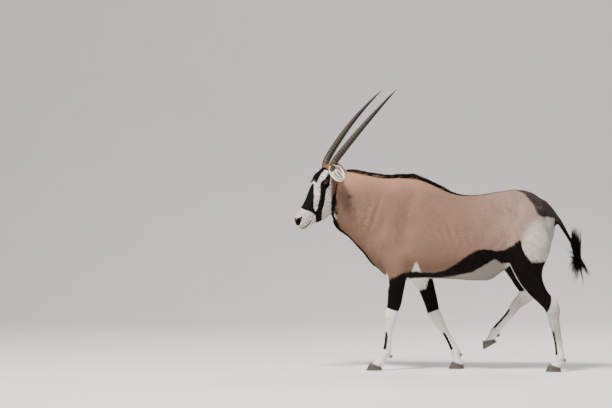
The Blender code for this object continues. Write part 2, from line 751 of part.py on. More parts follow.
def ear(name, side):
    """A cupped leaf: a rolled root opening to a broad blade with a rounded tip."""
    axis, opening = (Vector(v).normalized() for v in EAR_AXES[side])
    opening = (opening - axis * opening.dot(axis)).normalized()
    across = axis.cross(opening)
    u = np.linspace(0, 1, 11)
    half = np.interp(u, [0, 0.12, 0.3, 0.52, 0.75, 0.9, 1], [0.018, 0.024, 0.036, 0.041, 0.034, 0.020, 0.006])
    curl = np.radians(np.interp(u, [0, 0.15, 0.4, 0.7, 1], [150, 125, 92, 66, 40]))
    v = np.linspace(-1, 1, 9)
    radius = half / np.sin(np.minimum(curl, math.pi / 2))
    angle = v[None] * curl[:, None]
    out = (u * EAR_LENGTH - 0.012)[:, None] + 0 * angle
    wide = radius[:, None] * np.sin(angle)
    deep = radius[:, None] * (1 - np.cos(angle)) - 0.010 + 0.018 * (u**2)[:, None]
    base = Vector((EAR_BASE.x, EAR_BASE.y, side * EAR_BASE.z))
    local = (
        np.array(base)
        + out[..., None] * np.array(axis)
        + wide[..., None] * np.array(across)
        + deep[..., None] * np.array(opening)
    )
    points = in_head(local.reshape(-1, 3))
    count, width = angle.shape
    faces = []
    for i in range(count - 1):
        for j in range(width - 1):
            faces.append((i * width + j, i * width + j + 1, (i + 1) * width + j + 1, (i + 1) * width + j))
    obj = made(name, points, faces)
    shell = obj.modifiers.new("Solidify", "SOLIDIFY")
    shell.thickness = 0.0045
    shell.offset = 0
    return evaluated_copy(obj, name)


EYE_PLACE = Vector((0.130, 0.036, 0.0665))
EYE_LOOK = Vector((0.20, 0.12, 1.0))


def ball(name, centre, radius, segments=16, rings=10):
    bpy.ops.mesh.primitive_uv_sphere_add(segments=segments, ring_count=rings, radius=radius)
    obj = bpy.context.active_object
    obj.name = name
    obj.data.transform(Matrix.Translation(Vector(centre)))
    return obj


def eye_centre(side):
    return in_head([(EYE_PLACE.x, EYE_PLACE.y, side * EYE_PLACE.z)])[0]


def eye_frame(side):
    """The eye's frame: X looks out of it, Z is up across the lids."""
    matrix = head_matrix()
    look = matrix.to_3x3() @ Vector((EYE_LOOK.x, EYE_LOOK.y, side * EYE_LOOK.z))
    face, brow, _ = head_axes()
    x = look.normalized()
    z = (brow - x * brow.dot(x)).normalized()
    turn = Matrix((x, z.cross(x), z)).transposed().to_4x4()
    return Matrix.Translation(Vector(eye_centre(side))) @ turn


def lid_opening(side):
    """An almond-shaped plug, longer than high, that opens the lids over the ball."""
    angle = np.linspace(0, 2 * math.pi, 18, endpoint=False)
    rings = []
    for out, grow in ((0.004, 0.8), (0.050, 1.9)):
        y = 0.0175 * grow * np.cos(angle)
        z = 0.0105 * grow * np.sign(np.sin(angle)) * np.abs(np.sin(angle)) ** 1.3
        rings.append(np.column_stack([np.full(18, out), y, z]))
    obj = tube("lid_opening", np.array(rings))
    obj.data.transform(eye_frame(side))
    return obj


def nostril(side):
    """A slanted, comma-shaped pit at the side of the nose."""
    pit = [(0.424, -0.020, 0.006), (0.412, -0.006, 0.0085), (0.396, 0.004, 0.006), (0.388, 0.004, 0.003)]
    rows = resampled(pit, 9)
    rings = []
    angle = np.linspace(0, 2 * math.pi, 10, endpoint=False)
    for along, high, radius in rows:
        place = 0.036
        ring = np.column_stack(
            [
                along + 0.35 * radius * np.sin(angle),
                high + 0.9 * radius * np.sin(angle),
                side * (place + 0.016 * np.cos(angle)),
            ]
        )
        rings.append(ring)
    return tube("nostril", in_head(np.array(rings).reshape(-1, 3)).reshape(len(rows), 10, 3))


MOUTH_LINE = [(0.447, -0.046), (0.428, -0.053), (0.405, -0.059), (0.385, -0.062), (0.366, -0.061)]
MOUTH_DEPTH = 0.007


def mouth_cut():
    """A thin curved sheet across the muzzle, hollowed by the muzzle's own core."""
    rows = resampled(MOUTH_LINE, 14)
    along, high = rows.T
    thick = np.interp(along, [0.366, 0.385, 0.42, 0.447], [0.0006, 0.0014, 0.0020, 0.0020])
    rings = []
    for k in range(len(rows)):
        rings.append(
            [
                (along[k], high[k] + thick[k], -0.07),
                (along[k], high[k] + thick[k], 0.07),
                (along[k], high[k] - thick[k], 0.07),
                (along[k], high[k] - thick[k], -0.07),
            ]
        )
    rings = np.array(rings)
    sheet = tube("mouth_cut", in_head(rings.reshape(-1, 3)).reshape(rings.shape))
    core_rows = resampled(HEAD, 60)
    a, top, bottom, wide, taper = core_rows.T
    wide = wide - MOUTH_DEPTH
    keep = (a > 0.30) & (wide > 0.004)
    a, top, bottom, wide, taper = (v[keep] for v in (a, top, bottom, wide, taper))
    middle = bottom + (top - bottom) * 0.55
    centre = np.column_stack([a - MOUTH_DEPTH, middle, np.zeros_like(a)])
    up = np.tile((0.0, 1.0, 0.0), (len(a), 1))
    aside = np.tile((0.0, 0.0, 1.0), (len(a), 1))
    rings = sections(centre, up, aside, top - middle, middle - bottom, wide, taper, 24, 2.3)
    core = tube("muzzle_core", in_head(rings.reshape(-1, 3)).reshape(rings.shape))
    return boolean(sheet, core)


HEAD_PLANE_POINT = Vector((-0.632, -0.030, 1.095))
HEAD_PLANE_NORMAL = Vector((-0.945, -0.255, 0.205))
NECK_PLANE_POINT = Vector((-0.372, 0.0, 0.930))
NECK_PLANE_NORMAL = Vector((-0.960, 0.0, 0.280))


def half_space(point, normal, offset, size=3.0):
    """A large box that begins at a plane, moved along its normal by the offset."""
    normal = normal.normalized()
    frame = facing(point + normal * (offset + size / 2), normal)
    return box("half_space", (size, size, size), frame)


def plate(point, normal, width, height):
    """A thin sheet across a limb."""
    return box("plate", (GAP, width, height), facing(point, normal))


def leg_plates():
    """Sheets that part the legs from the trunk and each leg at its knee or hock."""
    return [
        plate((-0.260, -0.132, 0.536), (0.05, 0, 1), 0.24, 0.24),
        plate((-0.108, 0.132, 0.534), (-0.30, 0, 1), 0.24, 0.24),
        plate((-0.291, -0.117, 0.356), (0.2, 0, 1), 0.14, 0.14),
        plate((-0.042, 0.117, 0.343), (-0.35, 0, 1), 0.14, 0.14),
        plate((0.647, -0.118, 0.437), (-0.75, 0, 1), 0.17, 0.17),
        plate((0.526, 0.118, 0.480), (-0.25, 0, 1), 0.15, 0.15),
    ]


HAUNCH_FRONT = (0.335, 0.530)
HAUNCH_BACK = {-1: (0.712, 0.838), 1: (0.640, 0.712)}


def haunch_plates():
    """A slanting sheet over each thigh, and an upright one between the thighs."""
    x0, z0 = HAUNCH_FRONT
    sheets = []
    for side, (x1, z1) in HAUNCH_BACK.items():
        slope = Vector((x1 - x0, 0, z1 - z0))
        middle = Vector(((x0 + x1) / 2, side * (0.15 - HALF_GAP), (z0 + z1) / 2))
        sheets.append(plate(middle, (-slope.z, 0, slope.x), slope.length, 0.30))
    x1, z1 = HAUNCH_BACK[-1]
    outline = [(x0, z0), (x1, z1), (x1, 0.40), (x0, 0.40)]
    rings = np.array([[(x, y, z) for x, z in outline] for y in (-HALF_GAP, HALF_GAP)])
    return sheets + [tube("between_thighs", rings)]


def coronet_box(foot):
    """The room of a hoof, with its slanted top, cut from the end of the leg."""
    slant = math.atan(CORONET_SLOPE)
    top = Matrix.Translation((0, 0, CORONET_HEIGHT + GAP)) @ Matrix.Rotation(-slant, 4, "Y")
    frame = hoof_matrix(foot) @ top @ Matrix.Translation((0, 0, -0.04))
    return box("coronet", (0.16, 0.13, 0.08), frame)


def named_parts(parts, places):
    """Names each loose part after the nearest of the given places inside its box."""
    found = {}
    for part in parts:
        points = coordinates(part.data)
        low, high = points.min(0) - 0.01, points.max(0) + 0.01
        inside = [n for n, p in places.items() if np.all(p >= low) and np.all(p <= high)]
        if len(points) < 20 or not inside:
            bpy.data.objects.remove(part)
            continue
        gaps = {n: np.linalg.norm(points - np.asarray(places[n]), axis=1).min() for n in inside}
        name = min(gaps, key=gaps.get)
        if name in found and volume(found[name]) > volume(part):
            bpy.data.objects.remove(part)
            continue
        if name in found:
            bpy.data.objects.remove(found[name])
        part.name = name
        found[name] = part
    return found


# A point on the surface of each part of the body, to tell the cut pieces apart
PART_PLACES = {
    "neck": (-0.45, -0.10, 1.02),
    "torso": (0.15, -0.21, 0.80),
    "tail": (0.762, -0.015, 0.840),
    "foreleg_left_upper": (-0.275, -0.155, 0.430),
    "foreleg_right_upper": (-0.080, 0.155, 0.440),
    "foreleg_left_lower": (-0.315, -0.132, 0.200),
    "foreleg_right_lower": (0.040, 0.132, 0.200),
    "hindleg_left_upper": (0.550, -0.190, 0.640),
    "hindleg_right_upper": (0.470, 0.175, 0.580),
    "hindleg_left_lower": (0.714, -0.134, 0.250),
    "hindleg_right_lower": (0.430, 0.134, 0.345),
}


def parted_body():
    """The body with its mane, parted from the head, the legs and the tail by thin cuts."""
    body = body_flesh()
    body = boolean(body, mane_locks(body), "UNION")
    cuts = leg_plates() + haunch_plates() + [coronet_box(foot) for foot in FEET]
    cuts.append(plate((0.751, 0, 0.862), (0.45, 0, -0.9), 0.075, 0.09))
    cuts.append(plate(NECK_PLANE_POINT, NECK_PLANE_NORMAL, 1.2, 1.2))
    body = boolean(body, half_space(HEAD_PLANE_POINT, HEAD_PLANE_NORMAL, -HALF_GAP))
    for cut in cuts:
        body = boolean(body, cut)
    parts = named_parts(loose_parts(body), PART_PLACES)
    tail_end = parts.pop("tail")
    tuft_plane = plate((0.790, 0, 0.811), (0.46, 0, -0.89), 0.1, 0.1)
    tail_parts = loose_parts(boolean(tail_end, tuft_plane))
    tail_parts.sort(key=lambda obj: -coordinates(obj.data)[:, 2].mean())
    tail_parts[0].name = "tail"
    tuft = boolean(tail_parts[-1], tuft_locks(), "UNION")
    parts["tail"], parts["tail_tuft"] = tail_parts[0], largest(tuft, "tail_tuft")
    return parts


def parted_head():
    """The head with its lids, nostrils and mouth, and its ears cut free."""
    flesh = thinned(head_flesh(), HEAD_FACES)
    flesh = boolean(flesh, half_space(HEAD_PLANE_POINT, -HEAD_PLANE_NORMAL, -HALF_GAP))
    for side in (-1, 1):
        flesh = boolean(flesh, ball("lids", eye_centre(side), EYE_RADIUS + 0.0035), "UNION")
        flesh = boolean(flesh, lid_opening(side))
        flesh = boolean(flesh, ball("socket", eye_centre(side), EYE_RADIUS + GAP))
        flesh = boolean(flesh, nostril(side))
    flesh = boolean(flesh, mouth_cut())
    ears = {}
    for side, name in ((1, "ear_left"), (-1, "ear_right")):
        whole = ear(name, side)
        axis = Vector(EAR_AXES[side][0]).normalized()
        matrix = head_matrix()
        base = matrix @ (Vector((EAR_BASE.x, EAR_BASE.y, side * EAR_BASE.z)) + axis * 0.034)
        out = matrix.to_3x3() @ axis
        whole = boolean(whole, half_space(base, -out, -HALF_GAP, 0.3))
        ears[name] = largest(whole, name)
        root = boolean(ear(name + "_root", side), half_space(base, out, -HALF_GAP, 0.3))
        flesh = boolean(flesh, root, "UNION")
    for side in (-1, 1):
        flesh = boolean(flesh, horn("horn_seat", side, GAP, 0.2))
    return largest(flesh, "head"), ears


def material(name, colour, roughness):
    made_material = bpy.data.materials.new(name)
    made_material.use_nodes = True
    shader = made_material.node_tree.nodes["Principled BSDF"]
    shader.inputs["Base Color"].default_value = (*colour, 1)
    shader.inputs["Roughness"].default_value = roughness
    return made_material


def finished(obj, name, finish):
    """Names a part, gives it its material and smooth shading, and files it with the animal."""
    obj.name = name
    obj.data.name = name
    obj.data.materials.clear()
    obj.data.materials.append(finish)
    obj.data.shade_smooth()
    obj.data.set_sharp_from_angle(angle=math.radians(50))
    for collection in list(obj.users_collection):
        collection.objects.unlink(obj)
    ANIMAL.objects.link(obj)


def centred(objects):
    """Stands the animal on the floor with the middle of its box over the origin."""
    points = np.vstack([coordinates(obj.data) for obj in objects])
    low, high = points.min(0), points.max(0)
    shift = (-(low[0] + high[0]) / 2, -(low[1] + high[1]) / 2, -low[2])
    for obj in objects:
        obj.data.transform(Matrix.Translation(shift))


def main():
    tan_coat = material("tan_coat", (0.46, 0.33, 0.26), 0.8)
    white_coat = material("white_coat", (0.75, 0.71, 0.65), 0.8)
    dark_coat = material("dark_coat", (0.035, 0.025, 0.02), 0.75)
    horn_finish = material("horn", (0.10, 0.08, 0.065), 0.5)
    hoof_finish = material("hoof", (0.13, 0.11, 0.09), 0.55)
    eye_finish = material("eye", (0.015, 0.008, 0.005), 0.1)
    finishes = {
        "neck": tan_coat,
        "torso": tan_coat,
        "tail": dark_coat,
        "tail_tuft": dark_coat,
    }
    for name, part in parted_body().items():
        leg_finish = dark_coat if name.endswith("upper") else white_coat
        finished(part, name, finishes.get(name, leg_finish))
    skull, ears = parted_head()
    finished(skull, "head", white_coat)
    for name, part in ears.items():
        finished(part, name, white_coat)
    for side, word in ((1, "left"), (-1, "right")):
        finished(ball("eye", eye_centre(side), EYE_RADIUS), "eye_" + word, eye_finish)
        finished(horn("horn", side), "horn_" + word, horn_finish)
    for foot in FEET:
        for half, word in ((-1, "a"), (1, "b")):
            finished(claw("claw", foot, half), f"hoof_{foot}_{word}", hoof_finish)
    centred(list(ANIMAL.objects))


for old in list(bpy.data.objects):
    bpy.data.objects.remove(old)
ANIMAL = bpy.data.collections.new("gemsbok")
bpy.context.scene.collection.children.link(ANIMAL)
CUTTERS = bpy.data.collections.new("cutters")
bpy.context.scene.collection.children.link(CUTTERS)
main()
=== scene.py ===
"""Looks of a gemsbok in mid-stride, over the solids of its frame.

One skin takes the place of the flesh, and a coat of short tufts lies over it.
The skin repeats the solids' own tables and is fused more finely. The animal
faces -X and +Z is up. All sizes are in metres.
"""

import math

import bmesh
import bpy
import numpy as np
from mathutils import Matrix, Vector


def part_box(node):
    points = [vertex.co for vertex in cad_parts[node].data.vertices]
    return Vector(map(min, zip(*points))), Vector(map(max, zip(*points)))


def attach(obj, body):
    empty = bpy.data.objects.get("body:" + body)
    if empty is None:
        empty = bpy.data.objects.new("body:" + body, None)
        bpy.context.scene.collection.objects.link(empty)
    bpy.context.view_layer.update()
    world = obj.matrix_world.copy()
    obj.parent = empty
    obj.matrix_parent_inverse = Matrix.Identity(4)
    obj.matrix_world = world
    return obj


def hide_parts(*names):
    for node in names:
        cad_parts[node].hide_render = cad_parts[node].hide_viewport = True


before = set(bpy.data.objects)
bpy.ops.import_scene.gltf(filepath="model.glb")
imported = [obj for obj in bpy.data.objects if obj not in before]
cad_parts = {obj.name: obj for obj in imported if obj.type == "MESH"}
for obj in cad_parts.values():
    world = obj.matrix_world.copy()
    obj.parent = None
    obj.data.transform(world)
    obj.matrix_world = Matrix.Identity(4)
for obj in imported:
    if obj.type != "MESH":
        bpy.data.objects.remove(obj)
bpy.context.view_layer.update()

# Sizes of the animal
WITHERS_TOP = 1.192
EYE_RADIUS = 0.0195
LID_HALF_LENGTH = 0.0175
LID_HALF_HEIGHT = 0.0098
HORN_LENGTH = 0.672
HORN_BASE_RADIUS = 0.0208
HORN_RINGS = 21
EAR_LENGTH = 0.158
HOOF_LENGTH = 0.096
HOOF_GAP = 0.005
CORONET_HEIGHT = 0.040
CORONET_SLOPE = 0.36

# How finely the flesh and the skin are fused, and how far the skin lies inside the solids
BODY_VOXEL = 0.0065
HEAD_VOXEL = 0.0035
SKIN_VOXEL = 0.0032
SKIN_FACES = 118000
COAT_DEPTH = 0.0018

# The circles whose crossing makes the almond between the lids, and how far round them it reaches
LID_RADIUS = (LID_HALF_LENGTH**2 + LID_HALF_HEIGHT**2) / (2 * LID_HALF_HEIGHT)
LID_SWEEP = math.asin(LID_HALF_LENGTH / LID_RADIUS)
LID_RIM_RADIUS = 0.00115

# Trunk sections from the rump to the breast:
# x, top, bottom, half width, taper (below 0 is narrower above)
TRUNK = [
    (0.703, 0.930, 0.850, 0.020, 0.00),
    (0.691, 0.965, 0.800, 0.060, 0.00),
    (0.653, 1.020, 0.738, 0.108, 0.00),
    (0.598, 1.072, 0.701, 0.140, -0.05),
    (0.531, 1.104, 0.688, 0.165, -0.10),
    (0.457, 1.112, 0.664, 0.182, -0.15),
    (0.384, 1.103, 0.606, 0.196, -0.20),
    (0.304, 1.090, 0.561, 0.210, -0.22),
    (0.212, 1.077, 0.549, 0.216, -0.25),
    (0.089, 1.083, 0.556, 0.210, -0.28),
    (-0.028, 1.135, 0.560, 0.190, -0.35),
    (-0.127, 1.178, 0.556, 0.168, -0.42),
    (-0.201, WITHERS_TOP, 0.549, 0.150, -0.45),
    (-0.263, 1.172, 0.552, 0.140, -0.42),
    (-0.343, 1.100, 0.580, 0.128, -0.30),
    (-0.424, 1.000, 0.660, 0.102, -0.20),
    (-0.474, 0.860, 0.740, 0.050, 0.00),
]

# Neck sections from the shoulders to the skull:
# crest x, crest z, throat x, throat z, sideways place, half width
NECK = [
    (-0.145, 1.165, -0.250, 0.600, 0.000, 0.132),
    (-0.236, 1.187, -0.395, 0.626, 0.000, 0.126),
    (-0.323, 1.184, -0.479, 0.722, 0.000, 0.110),
    (-0.423, 1.198, -0.564, 0.815, -0.004, 0.096),
    (-0.522, 1.218, -0.641, 0.877, -0.012, 0.084),
    (-0.603, 1.226, -0.672, 0.948, -0.028, 0.074),
    (-0.660, 1.200, -0.700, 1.000, -0.045, 0.058),
]

# Head sections along the face from the poll to the lips, in the head's frame:
# distance, forehead side, jaw side, half width, taper
HEAD = [
    (-0.030, 0.045, -0.060, 0.045, 0.00),
    (0.000, 0.062, -0.085, 0.062, 0.05),
    (0.035, 0.074, -0.105, 0.070, 0.12),
    (0.070, 0.080, -0.120, 0.072, 0.18),
    (0.101, 0.087, -0.130, 0.071, 0.22),
    (0.135, 0.082, -0.137, 0.070, 0.28),
    (0.171, 0.066, -0.143, 0.064, 0.22),
    (0.205, 0.058, -0.147, 0.058, 0.14),
    (0.241, 0.049, -0.150, 0.051, 0.08),
    (0.280, 0.039, -0.141, 0.044, 0.04),
    (0.320, 0.032, -0.124, 0.040, 0.04),
    (0.355, 0.032, -0.103, 0.041, 0.10),
    (0.385, 0.027, -0.089, 0.044, 0.10),
    (0.408, 0.017, -0.081, 0.041, 0.05),
    (0.424, 0.004, -0.073, 0.033, 0.00),
    (0.432, -0.010, -0.064, 0.022, 0.00),
    (0.435, -0.026, -0.052, 0.010, 0.00),
]

# The share of its height at which each section of the head is widest
HEAD_MIDDLE = 0.55

# The head's frame: where the poll is, how far the face turns aside and dips
POLL = Vector((-0.6425, -0.040, 1.233))
HEAD_TURN = math.radians(34.0)
HEAD_DIP = math.radians(48.8)

# The planes where the head is parted from the neck, and the neck from the trunk
HEAD_PLANE_POINT = np.array((-0.632, -0.030, 1.095))
HEAD_PLANE_NORMAL = np.array((-0.945, -0.255, 0.205))
NECK_PLANE_POINT = np.array((-0.372, 0.0, 0.930))
NECK_PLANE_NORMAL = np.array((-0.960, 0.0, 0.280))

# The left eye's middle and the way it looks, in the head's frame
EYE_PLACE = Vector((0.130, 0.036, 0.0665))
EYE_LOOK = Vector((0.20, 0.12, 1.0))

# Limb girths from the top down: towards the front, back, half width, sideways place
FORE_GIRTH = [
    (0.055, 0.055, 0.030, 0.070),
    (0.098, 0.105, 0.050, 0.098),
    (0.104, 0.095, 0.058, 0.120),
    (0.085, 0.080, 0.057, 0.129),
    (0.066, 0.061, 0.049, 0.130),
    (0.053, 0.051, 0.041, 0.127),
    (0.045, 0.044, 0.033, 0.122),
    (0.042, 0.039, 0.032, 0.118),
    (0.043, 0.037, 0.036, 0.116),
    (0.033, 0.034, 0.029, 0.114),
    (0.024, 0.025, 0.022, 0.112),
    (0.023, 0.024, 0.021, 0.110),
    (0.025, 0.027, 0.025, 0.108),
    (0.029, 0.033, 0.031, 0.107),
    (0.026, 0.028, 0.029, 0.106),
    (0.032, 0.033, 0.035, 0.105),
]
HIND_GIRTH = [
    (0.100, 0.080, 0.050, 0.100),
    (0.145, 0.120, 0.082, 0.112),
    (0.163, 0.152, 0.086, 0.120),
    (0.132, 0.128, 0.080, 0.123),
    (0.100, 0.098, 0.069, 0.123),
    (0.078, 0.075, 0.056, 0.122),
    (0.060, 0.059, 0.045, 0.120),
    (0.046, 0.048, 0.037, 0.118),
    (0.044, 0.056, 0.034, 0.116),
    (0.044, 0.048, 0.035, 0.115),
    (0.037, 0.036, 0.029, 0.114),
    (0.032, 0.033, 0.026, 0.113),
    (0.027, 0.029, 0.023, 0.112),
    (0.026, 0.027, 0.023, 0.111),
    (0.027, 0.029, 0.027, 0.110),
    (0.030, 0.034, 0.031, 0.110),
    (0.026, 0.028, 0.029, 0.110),
    (0.032, 0.033, 0.035, 0.110),
]

# Limb paths in side view, x and z, one row for each girth
FORE_LEFT = [
    (-0.224, 1.072), (-0.249, 0.892), (-0.270, 0.738), (-0.261, 0.639),
    (-0.258, 0.571), (-0.265, 0.492), (-0.275, 0.412), (-0.288, 0.369),
    (-0.296, 0.333), (-0.300, 0.296), (-0.310, 0.246), (-0.316, 0.184),
    (-0.321, 0.141), (-0.328, 0.110), (-0.352, 0.070), (-0.378, 0.036),
]
FORE_RIGHT = [
    (-0.236, 1.072), (-0.249, 0.892), (-0.224, 0.738), (-0.162, 0.636),
    (-0.113, 0.548), (-0.088, 0.484), (-0.065, 0.408), (-0.049, 0.352),
    (-0.032, 0.321), (-0.010, 0.277), (0.019, 0.234), (0.047, 0.184),
    (0.071, 0.137), (0.086, 0.105), (0.092, 0.069), (0.100, 0.036),
]
HIND_LEFT = [
    (0.564, 1.010), (0.539, 0.874), (0.536, 0.775), (0.539, 0.694),
    (0.545, 0.626), (0.562, 0.565), (0.595, 0.503), (0.637, 0.448),
    (0.673, 0.408), (0.693, 0.371), (0.701, 0.322), (0.708, 0.278),
    (0.719, 0.219), (0.729, 0.161), (0.734, 0.120), (0.736, 0.088),
    (0.726, 0.060), (0.714, 0.036),
]
HIND_RIGHT = [
    (0.545, 1.000), (0.515, 0.880), (0.464, 0.790), (0.441, 0.725),
    (0.457, 0.668), (0.482, 0.602), (0.505, 0.536), (0.522, 0.494),
    (0.524, 0.467), (0.507, 0.441), (0.474, 0.409), (0.450, 0.382),
    (0.420, 0.337), (0.380, 0.291), (0.352, 0.258), (0.329, 0.228),
    (0.316, 0.203), (0.307, 0.181),
]

# Each leg: its path, its girths and its side
LIMB_TABLES = {
    "fore_left": (FORE_LEFT, FORE_GIRTH, -1),
    "fore_right": (FORE_RIGHT, FORE_GIRTH, 1),
    "hind_left": (HIND_LEFT, HIND_GIRTH, -1),
    "hind_right": (HIND_RIGHT, HIND_GIRTH, 1),
}

# Each foot: name, side, middle of the sole (x, z), how far the toe dips, half width place
FEET = {
    "fore_left": (-1, (-0.401, 0.0), 0.0, 0.105),
    "fore_right": (1, (0.092, 0.0), 0.0, 0.105),
    "hind_left": (-1, (0.697, 0.0), 0.0, 0.110),
    "hind_right": (1, (0.300, 0.142), math.radians(30.0), 0.110),
}

# Tail bone: x, z, radius
TAIL = [
    (0.610, 1.020, 0.045),
    (0.660, 0.990, 0.034),
    (0.697, 0.952, 0.025),
    (0.735, 0.903, 0.018),
    (0.774, 0.840, 0.014),
    (0.803, 0.787, 0.012),
    (0.832, 0.725, 0.010),
    (0.858, 0.664, 0.007),
]

# Swellings and hollows of the body: x, z, sideways place, reach, height
BODY_SWELLS = [
    (0.455, 1.055, 0.150, 0.050, 0.012),
    (0.395, 0.960, 0.190, 0.075, -0.014),
    (0.330, 0.700, 0.190, 0.070, -0.010),
    (0.690, 0.890, 0.090, 0.050, 0.010),
    (0.620, 0.800, 0.190, 0.080, 0.008),
    (-0.300, 0.790, 0.150, 0.050, 0.010),
    (-0.190, 0.700, 0.180, 0.055, 0.012),
    (-0.130, 0.900, 0.160, 0.080, -0.010),
    (-0.270, 1.000, 0.110, 0.070, 0.008),
    (-0.420, 0.950, 0.100, 0.070, -0.007),
    (0.300, 0.555, 0.000, 0.050, 0.008),
]

# Swellings and hollows of the head: distance, height, sideways place, reach, amount
HEAD_SWELLS = [
    (0.132, 0.036, 0.074, 0.027, 0.009),
    (0.110, 0.062, 0.060, 0.020, 0.002),
    (0.185, -0.085, 0.052, 0.045, 0.008),
    (0.205, 0.000, 0.055, 0.028, -0.006),
    (0.390, 0.000, 0.040, 0.016, 0.005),
    (0.395, -0.040, 0.042, 0.018, 0.003),
    (0.350, -0.085, 0.030, 0.024, -0.003),
    (0.412, -0.078, 0.012, 0.014, 0.003),
]


def resampled(rows, count):
    """Catmull-Rom curve through the rows of a table, at count even steps of its index."""
    rows = np.asarray(rows, float)
    padded = np.vstack([2 * rows[0] - rows[1], rows, 2 * rows[-1] - rows[-2]])
    place = np.linspace(0, len(rows) - 1, count)
    cell = np.minimum(place.astype(int), len(rows) - 2)
    t = (place - cell)[:, None]
    a, b, c, d = (padded[cell + k] for k in range(4))
    return 0.5 * (
        2 * b
        + (c - a) * t
        + (2 * a - 5 * b + 4 * c - d) * t**2
        + (3 * b - 3 * c + d - a) * t**3
    )


def normalised(vectors):
    """Each vector at length 1."""
    return vectors / np.linalg.norm(vectors, axis=-1, keepdims=True)


def grid_faces(rows, around, closed=True):
    """Faces of a grid of rows, closed round or open."""
    i, j = np.meshgrid(np.arange(rows - 1), np.arange(around if closed else around - 1), indexing="ij")
    k = (j + 1) % around
    corners = [i * around + j, i * around + k, (i + 1) * around + k, (i + 1) * around + j]
    return np.stack(corners, axis=-1).reshape(-1, 4)


def tube_faces(rows, around):
    """Faces of a tube of rings, and of its two ends closed on the two points kept after the rings."""
    j = np.arange(around)
    k = (j + 1) % around
    first, last = np.full(around, rows * around), (rows - 1) * around
    ends = [np.column_stack([k, j, first]), np.column_stack([last + j, last + k, first + 1])]
    return grid_faces(rows, around), np.vstack(ends)


def filled(name, points, *face_sets):
    """A mesh object from whole arrays of points and of faces, each set of faces with its own corner count."""
    mesh = bpy.data.meshes.new(name)
    widths = np.concatenate([np.full(len(faces), faces.shape[1]) for faces in face_sets])
    corners = np.concatenate([faces.ravel() for faces in face_sets]).astype(np.int32)
    mesh.vertices.add(len(points))
    mesh.vertices.foreach_set("co", points.astype(np.float32).ravel())
    mesh.loops.add(len(corners))
    mesh.loops.foreach_set("vertex_index", corners)
    mesh.polygons.add(len(widths))
    mesh.polygons.foreach_set("loop_start", (np.cumsum(widths) - widths).astype(np.int32))
    mesh.update(calc_edges=True)
    mesh.shade_smooth()
    obj = bpy.data.objects.new(name, mesh)
    bpy.context.scene.collection.objects.link(obj)
    return obj


def turned_out(obj):
    """The object with every face turned outwards."""
    work = bmesh.new()
    work.from_mesh(obj.data)
    bmesh.ops.recalc_face_normals(work, faces=work.faces)
    work.to_mesh(obj.data)
    work.free()
    return obj


def tube(name, rings):
    """A closed tube through rings of points, each end closed on its middle."""
    points = np.vstack([rings.reshape(-1, 3), rings[0].mean(0), rings[-1].mean(0)])
    return turned_out(filled(name, points, *tube_faces(*rings.shape[:2])))


def ball_rings(rows, around):
    """Rings of a ball of radius 1 from pole to pole along X: (cos a, sin a cos b, sin a sin b)."""
    down = np.linspace(0.02, math.pi - 0.02, rows)[:, None]
    round_about = np.linspace(0, 2 * math.pi, around, endpoint=False)[None]
    across = np.sin(down)
    parts = [np.cos(down) + 0 * round_about, across * np.cos(round_about), across * np.sin(round_about)]
    return np.stack(parts, -1)


def sections(centre, up, side, high, low, wide, taper, around, power=2.15):
    """Rings of points, each an oval squared a little by its power.

    ring(a) = centre + up * h * sin(a)^(2 / power) + side * wide * cos(a)^(2 / power)
    * (1 + taper * rise), with h the height above the centre or below it.
    """
    angle = np.linspace(0, 2 * math.pi, around, endpoint=False)
    exponent = 2 / power
    across = np.sign(np.cos(angle)) * np.abs(np.cos(angle)) ** exponent
    rise = np.sign(np.sin(angle)) * np.abs(np.sin(angle)) ** exponent
    height = np.where(rise > 0, high[:, None], low[:, None]) * rise
    width = wide[:, None] * across * (1 + taper[:, None] * rise)
    return centre[:, None] + up[:, None] * height[..., None] + side[:, None] * width[..., None]


def trunk():
    """The trunk from rump to breast: upright ovals along X through the table's rows."""
    rows = resampled(TRUNK, 60)
    x, top, bottom, wide, taper = rows.T
    middle = bottom + (top - bottom) * 0.48
    centre = np.column_stack([x, np.zeros_like(x), middle])
    up = np.tile((0.0, 0.0, 1.0), (len(x), 1))
    side = np.tile((0.0, 1.0, 0.0), (len(x), 1))
    return tube("trunk", sections(centre, up, side, top - middle, middle - bottom, wide, taper, 44))


def neck_lines(count):
    """The neck's rows, its crest line and its throat line, at count places from shoulders to skull."""
    rows = resampled(NECK, count)
    crest = np.column_stack([rows[:, 0], rows[:, 4], rows[:, 1]])
    throat = np.column_stack([rows[:, 2], rows[:, 4], rows[:, 3]])
    return rows, crest, throat


def neck():
    """The neck: ovals that span from the throat line to the crest line."""
    rows, crest, throat = neck_lines(36)
    up = normalised(crest - throat)
    half = np.linalg.norm(crest - throat, axis=1) / 2
    side = np.tile((0.0, 1.0, 0.0), (len(rows), 1))
    taper = np.full(len(rows), -0.12)
    rings = sections((crest + throat) / 2, up, side, half, half, rows[:, 5], taper, 36)
    return tube("neck_core", rings)


def head_axes():
    """Directions along the face, out of the forehead, and to the animal's left."""
    level = Vector((-math.cos(HEAD_TURN), -math.sin(HEAD_TURN), 0))
    face = level * math.cos(HEAD_DIP) - Vector((0, 0, math.sin(HEAD_DIP)))
    brow = level * math.sin(HEAD_DIP) + Vector((0, 0, math.cos(HEAD_DIP)))
    return face, brow, Vector((0, 0, 1)).cross(level)


def head_matrix():
    """From the head's frame (distance, height, left) to the animal's."""
    face, brow, left = head_axes()
    turn = Matrix((face, brow, left)).transposed().to_4x4()
    return Matrix.Translation(POLL) @ turn


def in_head(points):
    """Points given as (distance, height, left) turned into the animal's frame."""
    matrix = np.array(head_matrix())
    return np.asarray(points, float) @ matrix[:3, :3].T + matrix[:3, 3]


